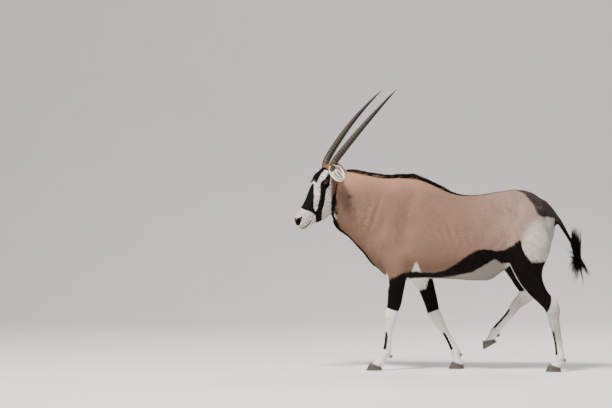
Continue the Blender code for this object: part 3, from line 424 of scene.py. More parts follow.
def head():
    """The head: ovals along the face through the table's rows, turned and dipped with the head's frame."""
    rows = resampled(HEAD, 60)
    along, top, bottom, wide, taper = rows.T
    middle = bottom + (top - bottom) * HEAD_MIDDLE
    centre = np.column_stack([along, middle, np.zeros_like(along)])
    up = np.tile((0.0, 1.0, 0.0), (len(along), 1))
    side = np.tile((0.0, 0.0, 1.0), (len(along), 1))
    rings = sections(centre, up, side, top - middle, middle - bottom, wide, taper, 40, 2.3)
    return tube("head_core", in_head(rings.reshape(-1, 3)).reshape(rings.shape))


def limb(name, path, girth, side_sign):
    """A leg from inside the body down to the coronet, and a little way into the hoof.

    Each ring is square to the path, and reaches forwards, back and aside by its girths.
    """
    path, girth = np.asarray(path), np.asarray(girth)
    points = np.column_stack([path[:, 0], side_sign * girth[:, 3], path[:, 1]])
    rows = resampled(np.column_stack([points, girth[:, :3]]), 6 * len(path))
    centre = rows[:, :3]
    down = normalised(np.gradient(centre, axis=0))
    side = np.tile((0.0, 1.0, 0.0), (len(rows), 1))
    side = normalised(side - down * (side * down).sum(1, keepdims=True))
    front = np.cross(side, down)
    taper = np.zeros(len(rows))
    rings = sections(centre, front, side, rows[:, 3], rows[:, 4], rows[:, 5], taper, 24, 2.1)
    tip = rings[-1:] + down[-1] * 0.02
    return tube(name, np.concatenate([rings, tip]))


def tail_line():
    """The middle line of the tail, finely."""
    return resampled([(x, 0.0, z) for x, z, _ in TAIL], 80)


def tail_bone():
    """The tail under its hair: rings of the table's radius, a little wider than high."""
    rows = resampled([(x, 0.0, z, r) for x, z, r in TAIL], 40)
    centre = rows[:, :3]
    along = normalised(np.gradient(centre, axis=0))
    side = np.tile((0.0, 1.0, 0.0), (len(rows), 1))
    front = np.cross(side, along)
    radius, flat = rows[:, 3], np.zeros(len(rows))
    return tube("tail_core", sections(centre, front, side, radius, radius, radius * 1.15, flat, 14, 2.0))


def evaluated_copy(obj, name):
    """The object's mesh with its modifiers applied, as a new object; the old one goes."""
    graph = bpy.context.evaluated_depsgraph_get()
    mesh = bpy.data.meshes.new_from_object(obj.evaluated_get(graph), depsgraph=graph)
    new = bpy.data.objects.new(name, mesh)
    new.matrix_world = obj.matrix_world.copy()
    bpy.context.scene.collection.objects.link(new)
    bpy.data.objects.remove(obj)
    return new


def fused(name, pieces, voxel):
    """One skin round overlapping closed pieces, by a voxel remesh."""
    work = bmesh.new()
    for piece in pieces:
        work.from_mesh(piece.data)
        bpy.data.objects.remove(piece)
    mesh = bpy.data.meshes.new(name)
    work.to_mesh(mesh)
    work.free()
    obj = bpy.data.objects.new(name, mesh)
    bpy.context.scene.collection.objects.link(obj)
    remesh = obj.modifiers.new("Remesh", "REMESH")
    remesh.mode = "VOXEL"
    remesh.voxel_size = voxel
    return evaluated_copy(obj, name)


def coordinates(mesh):
    """The mesh's points as one array."""
    points = np.empty(len(mesh.vertices) * 3, np.float32)
    mesh.vertices.foreach_get("co", points)
    return points.reshape(-1, 3).astype(float)


def set_coordinates(mesh, points):
    """Moves the mesh's points to those of an array."""
    mesh.vertices.foreach_set("co", points.astype(np.float32).ravel())
    mesh.update()


def normals(mesh):
    """The way out of the surface at each of the mesh's points."""
    found = np.empty(len(mesh.vertices) * 3, np.float32)
    mesh.vertex_normals.foreach_get("vector", found)
    return found.reshape(-1, 3).astype(float)


def relaxed(mesh, weight, steps):
    """Moves each point towards the mean of its neighbours, by its weight, again and again."""
    ends = np.empty(len(mesh.edges) * 2, np.int32)
    mesh.edges.foreach_get("vertices", ends)
    a, b = ends.reshape(-1, 2).T
    points = coordinates(mesh)
    count = np.bincount(np.concatenate([a, b]), minlength=len(points))[:, None]
    for _ in range(steps):
        total = np.column_stack(
            [
                np.bincount(a, points[b, k], len(points)) + np.bincount(b, points[a, k], len(points))
                for k in range(3)
            ]
        )
        points += weight[:, None] * (total / count - points)
    set_coordinates(mesh, points)


def swollen(mesh, swells):
    """Pushes the surface out along its normals by a sum of rounded bumps."""
    points, outward = coordinates(mesh), normals(mesh)
    push = np.zeros(len(points))
    for centre, reach, amount in swells:
        push += amount * np.exp(-((points - centre) ** 2).sum(1) / reach**2)
    set_coordinates(mesh, points + outward * push[:, None])


def body_weight(points):
    """How strongly the fused body is smoothed: fully on the trunk, little on the thin legs."""
    rise = np.clip((points[:, 2] - 0.42) / 0.22, 0, 1)
    tail = np.clip((0.74 - points[:, 0]) / 0.04, 0.05, 1)
    return 0.5 * np.maximum(rise, 0.06) * tail


# Where the markings lie on the trunk, in side view (x, z)
FLANK_STRIPE = [
    (-0.235, 0.604), (-0.190, 0.612), (-0.141, 0.618), (-0.098, 0.608), (-0.037, 0.602), (0.031, 0.620),
    (0.095, 0.658), (0.169, 0.711), (0.222, 0.743), (0.274, 0.753), (0.336, 0.742), (0.388, 0.742),
    (0.440, 0.769), (0.493, 0.813), (0.504, 0.790), (0.508, 0.760), (0.525, 0.727), (0.567, 0.675),
    (0.628, 0.650), (0.760, 0.640), (0.760, 0.560), (0.470, 0.560), (0.430, 0.615), (0.391, 0.656),
    (0.336, 0.690), (0.284, 0.658), (0.199, 0.610), (0.092, 0.585), (0.005, 0.572), (-0.235, 0.570),
]
BELLY = [
    (-0.205, 0.570), (-0.190, 0.568), (0.005, 0.574), (0.092, 0.589), (0.199, 0.614), (0.284, 0.662),
    (0.336, 0.695), (0.391, 0.660), (0.470, 0.560), (0.500, 0.400), (-0.205, 0.400),
]
BUTTOCK = [
    (0.596, 0.938), (0.566, 0.921), (0.542, 0.888), (0.525, 0.853), (0.511, 0.820), (0.504, 0.790),
    (0.508, 0.760), (0.525, 0.727), (0.567, 0.675), (0.628, 0.652), (0.800, 0.645), (0.800, 0.925),
    (0.688, 0.937), (0.620, 0.947),
]
CROUP = [
    (0.420, 1.140), (0.470, 1.104), (0.509, 1.087), (0.563, 1.029), (0.596, 0.967), (0.620, 0.951),
    (0.660, 0.947), (0.800, 0.930), (0.800, 1.200), (0.420, 1.200),
]
AXILLA = [(-0.170, 0.610), (-0.150, 0.660), (-0.138, 0.678), (-0.122, 0.640), (-0.110, 0.607)]

# Half width of the dark line along the back, by place along the body
BACK_LINE = [
    (-0.60, 0.004), (-0.5, 0.009), (-0.2, 0.015), (0.0, 0.013), (0.3, 0.008), (0.48, 0.012), (0.56, 0.03),
]
# How deep the dark throat line reaches behind the front of the neck, by height
THROAT_LINE = [
    (0.55, 0.022), (0.70, 0.026), (0.80, 0.024), (0.84, 0.022), (0.87, 0.022), (0.894, 0.030), (0.920, 0.045),
    (0.951, 0.062), (0.976, 0.080), (1.001, 0.097), (1.061, 0.127), (1.10, 0.150),
]

# Where they lie on the head: distance along the face, and angle round it in degrees from the brow
BLAZE = [
    (0.165, -5), (0.176, 14), (0.209, 33), (0.237, 46), (0.266, 58), (0.292, 73), (0.300, 84), (0.298, 94),
    (0.292, 112), (0.318, 112), (0.322, 93), (0.324, 75), (0.340, 50), (0.340, 20), (0.339, -5),
]
FOREHEAD = [
    (0.154, -5), (0.156, 8), (0.163, 19), (0.161, 28), (0.143, 34), (0.121, 35), (0.096, 32), (0.075, 30),
    (0.060, 24), (0.050, 14), (0.045, -5),
]
EYE_STRAP = [
    (0.072, 57), (0.080, 52), (0.108, 57), (0.126, 57), (0.142, 52), (0.159, 48), (0.178, 53),
    (0.200, 62), (0.230, 71), (0.260, 80), (0.280, 90), (0.300, 92), (0.320, 106), (0.327, 117),
    (0.338, 135), (0.344, 159), (0.345, 185), (0.310, 185), (0.304, 146), (0.290, 124), (0.268, 110),
    (0.249, 104), (0.227, 98), (0.191, 87), (0.166, 77), (0.154, 78), (0.133, 83), (0.116, 78),
    (0.095, 72), (0.072, 62),
]
EYE_LINE = [
    (0.044, 8), (0.064, 6), (0.067, 22), (0.065, 45), (0.078, 55), (0.076, 63), (0.066, 66), (0.054, 52),
    (0.050, 30),
]
JAW_BAND = [
    (0.086, 99), (0.096, 101), (0.129, 114), (0.152, 110), (0.170, 108), (0.197, 115), (0.207, 126),
    (0.222, 138), (0.232, 160), (0.240, 158), (0.300, 158), (0.300, 185), (0.262, 185), (0.250, 166),
    (0.237, 160), (0.223, 152), (0.193, 137), (0.150, 125), (0.126, 121), (0.090, 107),
]
FACE_WHITE = [
    (0.052, -5), (0.058, 50), (0.070, 63), (0.095, 76), (0.120, 88), (0.149, 99), (0.172, 106), (0.198, 115),
    (0.208, 127), (0.224, 142), (0.230, 185), (0.600, 185), (0.600, -5),
]
# The bare black nose round the nostrils: distance along the face, and height in the head's frame
NOSE = [
    (0.414, 0.011), (0.406, 0.016), (0.398, 0.010), (0.397, -0.003), (0.403, -0.012), (0.416, -0.019),
    (0.432, -0.024), (0.470, -0.030), (0.470, -0.002), (0.432, 0.000),
]
# How far a degree round the face is taken to reach over it, in metres
DEGREE = 0.0011


def inside(a, b, outline):
    """Signed distance to a closed outline in a plane, above 0 inside it."""
    corners = np.asarray(outline, float)
    far = np.full(len(a), 1e9)
    odd = np.zeros(len(a), bool)
    for (x0, y0), (x1, y1) in zip(corners, np.roll(corners, -1, axis=0)):
        dx, dy = x1 - x0, y1 - y0
        t = np.clip(((a - x0) * dx + (b - y0) * dy) / (dx * dx + dy * dy + 1e-12), 0, 1)
        far = np.minimum(far, np.hypot(a - x0 - t * dx, b - y0 - t * dy))
        crosses = (y0 > b) != (y1 > b)
        odd ^= crosses & (a < x0 + (b - y0) * dx / (dy if abs(dy) > 1e-12 else 1e-12))
    return np.where(odd, far, -far)


def nearest(points, line):
    """Index of the nearest of a line's points, for each point."""
    found = np.empty(len(points), int)
    for start in range(0, len(points), 50000):
        share = points[start : start + 50000]
        found[start : start + 50000] = ((line**2).sum(1)[None] - 2 * share @ line.T).argmin(1)
    return found


def smooth(value, low, high):
    """0 below low, 1 above high, and an even S between."""
    t = np.clip((value - low) / (high - low), 0, 1)
    return t * t * (3 - 2 * t)


def limb_line(name):
    """A leg's middle line, finely: points, downward directions, girths and row number."""
    path, girth, side = (np.asarray(v) for v in LIMB_TABLES[name])
    points = np.column_stack([path[:, 0], side * girth[:, 3], path[:, 1]])
    count = 12 * len(path)
    rows = resampled(np.column_stack([points, girth[:, :3]]), count)
    down = normalised(np.gradient(rows[:, :3], axis=0))
    return rows[:, :3], down, rows[:, 3:], np.linspace(0, len(path) - 1, count)


def on_limb(points, name):
    """Row number, angle round the leg (0 outwards, 90 forwards), and how far out in girths."""
    line, down, girth, number = limb_line(name)
    k = nearest(points, line)
    side = np.array([0.0, LIMB_TABLES[name][2], 0.0])
    outward = normalised(side - down[k] * (down[k] @ side)[:, None])
    forward = np.cross(outward, down[k]) * LIMB_TABLES[name][2]
    gap = points - line[k]
    out, front = (gap * outward).sum(1), (gap * forward).sum(1)
    span = np.where(front > 0, girth[k, 0], girth[k, 1])
    ratio = np.hypot(out / girth[k, 2], front / span)
    past = (gap * down[k]).sum(1)
    ratio = ratio + 8 * np.abs(past) / span * (k == 0)
    return number[k], np.degrees(np.arctan2(front / span, out / girth[k, 2])), ratio


def on_head(points):
    """Places in the head's frame, and their angle round the face from the brow in degrees."""
    matrix = np.array(head_matrix())
    local = (points - matrix[:3, 3]) @ matrix[:3, :3]
    rows = resampled(HEAD, 200)
    top, bottom, wide = (np.interp(local[:, 0], rows[:, 0], rows[:, k]) for k in (1, 2, 3))
    middle = bottom + (top - bottom) * HEAD_MIDDLE
    high = local[:, 1] - middle
    tall = np.where(high > 0, top - middle, middle - bottom)
    return local, np.degrees(np.arctan2(np.abs(local[:, 2]) / wide, high / tall))


def past_head_plane(points):
    """How far each place lies past the plane between neck and head, towards the face."""
    return (points - HEAD_PLANE_POINT) @ normalised(HEAD_PLANE_NORMAL)


def on_neck(points):
    """How far behind the throat a place lies, how far below the crest, the neck's aside, and its share."""
    rows, crest, throat = neck_lines(240)
    k = nearest(points * (1, 0, 1), (crest + throat) / 2 * (1, 0, 1))
    up = normalised(crest - throat)
    behind_throat = ((points - throat[k]) * up[k]).sum(1)
    below_crest = ((crest[k] - points) * up[k]).sum(1)
    return behind_throat, below_crest, rows[k, 4], k / (len(rows) - 1)


def trunk_markings(points, outward):
    """Dark on the flanks, croup and back; white on the belly, buttocks, armpits and groin."""
    x, y, z = points.T
    # The right thigh stands further forward than the left one, and its markings with it
    forward = np.interp(z, [0.62, 0.68, 0.78, 0.88, 1.0], [0.075, 0.090, 0.070, 0.020, 0.0])
    side_x = x + np.where((x > 0.2) & (y > 0), forward, 0)
    dark = inside(side_x, z, FLANK_STRIPE)
    dark = np.where((x > 0.36) & (np.abs(y) < 0.07), np.minimum(dark, np.abs(y) - 0.06), dark)
    dark = np.maximum(dark, inside(x, z, CROUP))
    white = np.maximum(inside(x, z, BELLY), inside(side_x, z, BUTTOCK))
    white = np.maximum(white, np.minimum(inside(x, z, AXILLA), np.abs(y) - 0.09))
    groin = np.minimum(np.minimum(0.085 - np.abs(y), x - 0.36), 0.80 - z)
    white = np.maximum(white, groin)
    # The line along the back, wide at the withers and thin over the loins
    crest_rows = resampled(NECK, 60)[::-1]
    crest_y = np.interp(x, crest_rows[:, 0], crest_rows[:, 4])
    half = np.interp(x, *np.array(BACK_LINE).T)
    line = np.minimum(half - np.abs(y - crest_y), (outward[:, 2] - 0.35) * 0.05)
    return np.maximum(dark, np.where(x > -0.585, line, -1)), white


def throat_line(points, outward):
    """Dark down the front of the neck: its middle on the chest, and as deep as its table says above."""
    x, y, z = points.T
    behind_throat, _, aside, _ = on_neck(points)
    depth = np.interp(z, *np.array(THROAT_LINE).T)
    half = np.interp(z, [0.70, 0.755, 0.79], [0.045, 0.040, 0.030])
    front = np.minimum(half - np.abs(y - aside), (-outward[:, 0] - 0.25) * 0.06)
    line = front + smooth(z, 0.85, 0.90) * (depth - behind_throat - front)
    return np.where((x < -0.30) & (z < 1.08), line, -1)


def cannon_stripe(number, angle, start, end, half_turn):
    """Dark down the front of a cannon between two row numbers, as far round as half_turn each way."""
    ahead = half_turn - np.abs(angle - 90)
    return np.minimum(np.minimum((number - start) * 0.012, (end - number) * 0.012), ahead * 0.00014)


def foreleg_markings(number, angle, side, trunk_dark):
    """A dark forearm that joins the flank's stripe; white before and inside its root, and below it."""
    top = 3.75 + 0.35 * np.cos(np.radians(angle - 90))
    low = 6.75 if side < 0 else 6.95
    forearm = np.minimum((number - top) * 0.08, (low - number) * 0.045)
    edge = np.interp(angle % 360, [0, 54, 78, 180, 235, 262], [3.2, 3.2, 4.9, 4.5, 4.0, 3.2])
    patch = (edge - number) * 0.08
    front = np.minimum((4.72 - number) * 0.08, (angle - 52) * 0.0009)
    root = np.maximum(patch, front)
    dark = np.maximum(np.minimum(forearm, -root), np.minimum(trunk_dark, (4.2 - number) * 0.08))
    dark = np.maximum(dark, cannon_stripe(number, angle, 10.1, 12.4, 88))
    return dark, np.maximum(root, (number - low) * 0.045)


def hindleg_markings(number, angle, side):
    """Dark round the thigh down to a slanting edge above the hock, with white inside and below."""
    turned = np.sin(np.radians(angle))
    hock = 8.15 + 0.85 * turned if side < 0 else 6.9 + 0.9 * turned
    edge = 66 if side < 0 else 165
    round_front = (edge - angle) * 0.0009
    round_back = (angle + 122) * 0.0009
    dark = np.minimum(np.minimum((hock - number) * 0.05, round_front), round_back)
    if side < 0:
        inner = np.minimum(np.minimum(angle - 92, 140 - angle) * 0.0009, (number - 4.0) * 0.05)
        dark = np.maximum(dark, np.minimum(inner, (hock - number) * 0.05))
    return np.maximum(dark, cannon_stripe(number, angle, 11.5, 14.5, 66)), -dark


def head_markings(points, throat):
    """Where the head's own markings hold, and the dark and the white there."""
    local, round_face = on_head(points)
    s, t = local[:, 0], round_face * DEGREE
    dark = -np.ones(len(points))
    for outline in (BLAZE, FOREHEAD, EYE_STRAP, EYE_LINE, JAW_BAND):
        dark = np.maximum(dark, inside(s, t, [(a, b * DEGREE) for a, b in outline]))
    # The nose between and round the nostrils, and the lips
    _, gap, pit = muzzle_depth(points)
    lips = np.where(s > 0.36, np.maximum(0.0042 - gap, 10 * (pit - 0.002)), -1)
    dark = np.maximum(np.maximum(dark, inside(s, local[:, 1], NOSE)), lips)
    white = inside(s, t, [(a, b * DEGREE) for a, b in FACE_WHITE])
    beyond = past_head_plane(points)
    on = (beyond > -0.012) & (s > -0.01) & (points[:, 2] > 0.80)
    return on, np.maximum(dark, throat * (beyond < 0.02)), white


def markings(points, outward):
    """How far inside the dark and the white areas each place lies, in metres, below 0 outside them."""
    x, y, z = points.T
    dark, white = trunk_markings(points, outward)
    throat = throat_line(points, outward)
    dark = np.maximum(dark, throat)
    # A dark round at the tip of the breast
    dark = np.maximum(dark, np.where(x < -0.28, 0.014 - np.hypot(x + 0.345, z - 0.578), -1))
    tail = tail_line()
    far = np.linalg.norm(points - tail[nearest(points, tail)], axis=1)
    on_tail = (x > 0.70) & (far < 0.05)
    dark, white = np.where(on_tail, 0.03, dark), np.where(on_tail, -0.03, white)
    for name in LIMB_TABLES:
        side = LIMB_TABLES[name][2]
        number, angle, ratio = on_limb(points, name)
        if name.startswith("fore"):
            on = (ratio < 1.5) & (y * side > 0.02) & (number > 3.4) & (z < 0.66)
            leg_dark, leg_white = foreleg_markings(number, angle, side, dark)
        else:
            on = (ratio < 1.6) & (y * side > 0.02) & (number > 3.3) & (z < 0.70)
            leg_dark, leg_white = hindleg_markings(number, angle, side)
        dark = np.where(on, leg_dark, dark)
        white = np.where(on, leg_white, white)
    # A dark fleck on the near side of the neck
    fleck = 0.0012 - 0.17 * np.linalg.norm(points - (-0.557, -0.093, 1.074), axis=1)
    dark = np.maximum(dark, fleck)
    on_face, face_dark, face_white = head_markings(points, throat)
    return np.where(on_face, face_dark, dark), np.where(on_face, face_white, white)


def body_skin():
    """The fused body as the solids have it, but not thinned."""
    pieces = [trunk(), neck(), head(), tail_bone()]
    pieces += [limb(name, *LIMB_TABLES[name]) for name in LIMB_TABLES]
    flesh = fused("body", pieces, BODY_VOXEL)
    relaxed(flesh.data, body_weight(coordinates(flesh.data)), 30)
    swells = []
    for x, z, place, reach, amount in BODY_SWELLS:
        for side in (-1, 1) if place else (1,):
            swells.append(((x, side * place, z), reach, amount))
    swollen(flesh.data, swells)
    return flesh


def head_skin():
    """The head and throat, fused more finely than the body."""
    flesh = fused("head", [head(), neck()], HEAD_VOXEL)
    relaxed(flesh.data, np.full(len(flesh.data.vertices), 0.5), 8)
    swells = []
    for along, high, place, reach, amount in HEAD_SWELLS:
        for side in (-1, 1):
            swells.append((in_head([(along, high, side * place)])[0], reach, amount))
    swollen(flesh.data, swells)
    return flesh


def eye_centre(side):
    """The middle of an eye's ball; side is 1 on the left and -1 on the right."""
    return in_head([(EYE_PLACE.x, EYE_PLACE.y, side * EYE_PLACE.z)])[0]


def eye_frame(side):
    """The eye's frame: X looks out of it, Z is up across the lids."""
    matrix = head_matrix()
    look = matrix.to_3x3() @ Vector((EYE_LOOK.x, EYE_LOOK.y, side * EYE_LOOK.z))
    _, brow, _ = head_axes()
    x = look.normalized()
    z = (brow - x * brow.dot(x)).normalized()
    turn = Matrix((x, z.cross(x), z)).transposed().to_4x4()
    return Matrix.Translation(Vector(eye_centre(side))) @ turn


def in_eye(points, side):
    """Places given in the eye's frame: out of the eye, across the lids, and up."""
    matrix = np.array(eye_frame(side))
    return (points - matrix[:3, 3]) @ matrix[:3, :3]


def out_of_eye(local, side):
    """Places of the eye's frame given in the animal's."""
    matrix = np.array(eye_frame(side))
    return local @ matrix[:3, :3].T + matrix[:3, 3]


def refined(mesh, chosen):
    """Splits every edge between chosen points once."""
    work = bmesh.new()
    work.from_mesh(mesh)
    work.edges.ensure_lookup_table()
    ends = np.empty(len(mesh.edges) * 2, np.int32)
    mesh.edges.foreach_get("vertices", ends)
    ends = ends.reshape(-1, 2)
    edges = [work.edges[k] for k in np.flatnonzero(chosen[ends].any(1))]
    bmesh.ops.subdivide_edges(work, edges=edges, cuts=1, use_grid_fill=True)
    bmesh.ops.triangulate(work, faces=[f for f in work.faces if len(f.verts) > 4])
    work.to_mesh(mesh)
    work.free()


def lid_distance(y, z):
    """Distance outside the almond where two circles cross, below 0 in the opening."""
    return np.hypot(y, np.abs(z) + LID_RADIUS - LID_HALF_HEIGHT) - LID_RADIUS


def opened_lids(points):
    """Sinks the skin behind the eyeball inside the lids, and rolls the lids' edges over it."""
    for side in (-1, 1):
        local = in_eye(points, side)
        x, y, z = local.T
        reach = np.linalg.norm(local, axis=1)
        near = (reach < 0.05) & (x > -0.004)
        gap = lid_distance(y, z)
        shell = EYE_RADIUS + 0.0026 * smooth(gap, -0.0002, 0.0020)
        shell = shell - 0.0006 * np.exp(-(((gap - 0.0065) / 0.002) ** 2))
        shell = np.where(gap < 0, EYE_RADIUS - 0.004 * smooth(-gap, 0, 0.0012), shell)
        hold = smooth(0.030 - np.hypot(y, z), 0, 0.012)
        target = local / np.maximum(reach, 1e-6)[:, None] * shell[:, None]
        outer = np.where((gap > 0)[:, None], np.where((reach < shell)[:, None], target, local), target)
        blended = local + (outer - local) * np.where(gap < 0.0015, 1, hold)[:, None]
        points = np.where(near[:, None], out_of_eye(blended, side), points)
    return points


# The nostril's comma (distance along the face, height, half width) and the line of the mouth
NOSTRIL = [(0.424, -0.020, 0.0050), (0.414, -0.008, 0.0080), (0.399, 0.003, 0.0060), (0.388, 0.004, 0.0025)]
MOUTH_LINE = [(0.447, -0.046), (0.428, -0.053), (0.405, -0.059), (0.385, -0.062), (0.366, -0.061)]


def muzzle_depth(points):
    """How far the skin is sunk about the muzzle, how far the mouth's line is, and the nostrils' depth.

    The nostril is a comma-shaped pit with a raised rim, the mouth a fine groove between
    rounded lips, and a short groove runs down the middle of the upper lip.
    """
    local, _ = on_head(points)
    s, t, l = local.T
    comma = resampled(NOSTRIL, 40)
    k = nearest(np.column_stack([s, t, 0 * s]), comma * (1, 1, 0))
    gap = np.hypot(s - comma[k, 0], t - comma[k, 1]) / comma[k, 2]
    pit = 0.014 * smooth(1.25 - gap, 0, 0.9) * smooth(np.abs(l), 0.016, 0.022)
    rim = -0.0022 * np.exp(-((gap - 1.7) / 0.45) ** 2) * smooth(np.abs(l), 0.016, 0.022)
    line = resampled(MOUTH_LINE, 60)
    k = nearest(np.column_stack([s, t, 0 * s]), np.column_stack([line, 0 * line[:, 0]]))
    gap = np.hypot(s - line[k, 0], t - line[k, 1])
    lips = 0.0055 * np.exp(-((gap / 0.0018) ** 2)) - 0.0012 * np.exp(-(((gap - 0.006) / 0.003) ** 2))
    groove = 0.0022 * np.exp(-((l / 0.0020) ** 2)) * smooth(s, 0.405, 0.420) * smooth(t, -0.050, -0.044)
    on = s > 0.34
    return np.where(on, pit + rim + lips + groove, 0), np.where(on, gap, 1), np.where(on, pit, 0)


def wrinkled(points, outward):
    """Folds of loose skin: upright ones on the neck, slanting ones behind the elbow and at the flank."""
    x, _, z = points.T
    push = np.zeros(len(points))
    for x0, lean, high, reach, amount in (
        (-0.470, 0.25, 0.985, 0.085, 0.0020),
        (-0.448, 0.30, 0.975, 0.080, -0.0018),
        (-0.425, 0.34, 0.960, 0.090, 0.0020),
        (-0.402, 0.38, 0.940, 0.080, -0.0016),
        (-0.505, 0.20, 1.000, 0.070, -0.0016),
    ):
        line = x0 + lean * (z - high)
        push += amount * np.exp(-(((x - line) / 0.010) ** 2) - ((z - high) / reach) ** 2)
    for x0, z0, lean, reach, amount in (
        (-0.150, 0.66, 0.6, 0.05, 0.0012),
        (0.350, 0.74, 0.9, 0.06, 0.0014),
        (0.330, 0.76, 0.9, 0.05, -0.0010),
        (-0.335, 0.62, -0.5, 0.05, 0.0014),
    ):
        line = x0 + lean * (z - z0)
        push += amount * np.exp(-(((x - line) / 0.012) ** 2) - ((z - z0) / reach) ** 2)
    ribs = 0.0008 * np.sin((x + 0.35 * (z - 0.8)) * 2 * math.pi / 0.052)
    push += ribs * np.exp(-(((x - 0.10) / 0.13) ** 2) - ((z - 0.83) / 0.11) ** 2)
    return points + outward * push[:, None]


def thinned(skin, faces):
    """Fewer triangles on the body, with the head left as it is."""
    group = skin.vertex_groups.new(name="body")
    weight = 1 - smooth(past_head_plane(coordinates(skin.data)), -0.02, 0.03)
    for level in range(1, 9):
        chosen = np.flatnonzero(np.abs(weight - level / 8) <= 1 / 16)
        group.add(chosen.tolist(), level / 8, "REPLACE")
    triangles = skin.modifiers.new("Triangulate", "TRIANGULATE")
    triangles.quad_method = "SHORTEST_DIAGONAL"
    decimate = skin.modifiers.new("Decimate", "DECIMATE")
    decimate.ratio = faces / (2 * len(skin.data.polygons))
    decimate.vertex_group = "body"
    skin = evaluated_copy(skin, skin.name)
    skin.vertex_groups.clear()
    return skin


def skin_shape():
    """One skin over the whole body: fused, smoothed, and worked finely round the eyes and muzzle."""
    lid_ball = (EYE_RADIUS + 0.0024) * ball_rings(20, 32)
    lids = [tube("lid", np.array(eye_centre(side)) + lid_ball) for side in (-1, 1)]
    skin = fused("skin", [body_skin(), head_skin()] + lids, SKIN_VOXEL)
    relaxed(skin.data, np.full(len(skin.data.vertices), 0.5), 5)
    points = coordinates(skin.data)
    relaxed(skin.data, body_weight(points) * (1 - smooth(past_head_plane(points), -0.04, 0.01)), 45)
    skin = thinned(skin, SKIN_FACES)
    mesh = skin.data
    points = wrinkled(coordinates(mesh), normals(mesh))
    set_coordinates(mesh, points - normals(mesh) * COAT_DEPTH)
    for beside_lids, least_sunk in ((0.009, 0.0003), (0.0035, 0.0010)):
        points = coordinates(mesh)
        chosen = np.zeros(len(points), bool)
        for side in (-1, 1):
            x, y, z = in_eye(points, side).T
            chosen |= (np.abs(lid_distance(y, z)) < beside_lids) & (x > 0) & (x < 0.04)
        sunk, _, _ = muzzle_depth(points)
        chosen |= (np.abs(sunk) > least_sunk) & (past_head_plane(points) > 0.1)
        refined(mesh, chosen)
    points, outward = coordinates(mesh), normals(mesh)
    sunk, _, _ = muzzle_depth(points)
    set_coordinates(mesh, opened_lids(points - outward * sunk[:, None]))
    return skin


def put(obj, **values):
    """Keeps numbers on the mesh's points for its material to read."""
    for name, value in values.items():
        kept = obj.data.attributes.new(name, "FLOAT", "POINT")
        kept.data.foreach_set("value", np.ascontiguousarray(value, np.float32))


def map_strip(left, wide, along, middle, tall, turned):
    """Places on one strip of the flat map: across it by a share along, up it by a share turned."""
    return np.column_stack([left + wide * along, middle + tall * turned])


def unwrapped(points):
    """Each place's spot on a flat map of the body: a strip for every part, by length and by angle."""
    x, y, z = points.T
    rows = resampled(TRUNK, 120)[::-1]
    middle = np.interp(x, rows[:, 0], (rows[:, 1] + rows[:, 2]) / 2)
    spot = map_strip(0.0, 0.49, (x + 0.50) / 1.40, 0.25, 0.48, np.arctan2(y, z - middle) / (2 * math.pi))
    behind_throat, below_crest, aside, along = on_neck(points)
    turned = np.arctan2(y - aside, (behind_throat - below_crest) / 2) / (2 * math.pi)
    on = (points - NECK_PLANE_POINT) @ normalised(NECK_PLANE_NORMAL) > 0
    spot = np.where(on[:, None], map_strip(0.51, 0.28, along, 0.25, 0.48, turned), spot)
    for k, name in enumerate(LIMB_TABLES):
        number, angle, ratio = on_limb(points, name)
        on = (ratio < 1.6) & (y * LIMB_TABLES[name][2] > 0.02) & (number > 3.4) & (z < 0.70)
        strip = map_strip(0.41 + 0.115 * k, 0.105, (number - 3.4) / 14, 0.75, 0.48, angle / 360)
        spot = np.where(on[:, None], strip, spot)
    local, angle = on_head(points)
    strip = map_strip(0.02, 0.36, (local[:, 0] + 0.05) / 0.52, 0.75, 0.24, angle / 180 * np.sign(local[:, 2]))
    spot = np.where((past_head_plane(points) > 0)[:, None], strip, spot)
    on = (x > 0.70) & (z > 0.60) & (z < 0.93) & (np.abs(y) < 0.2)
    strip = map_strip(0.90, 0.04, (0.93 - z) / 0.4, 0.75, 0.24, np.clip(y / 0.2, -1, 1))
    return np.clip(np.where(on[:, None], strip, spot), 0.004, 0.996)


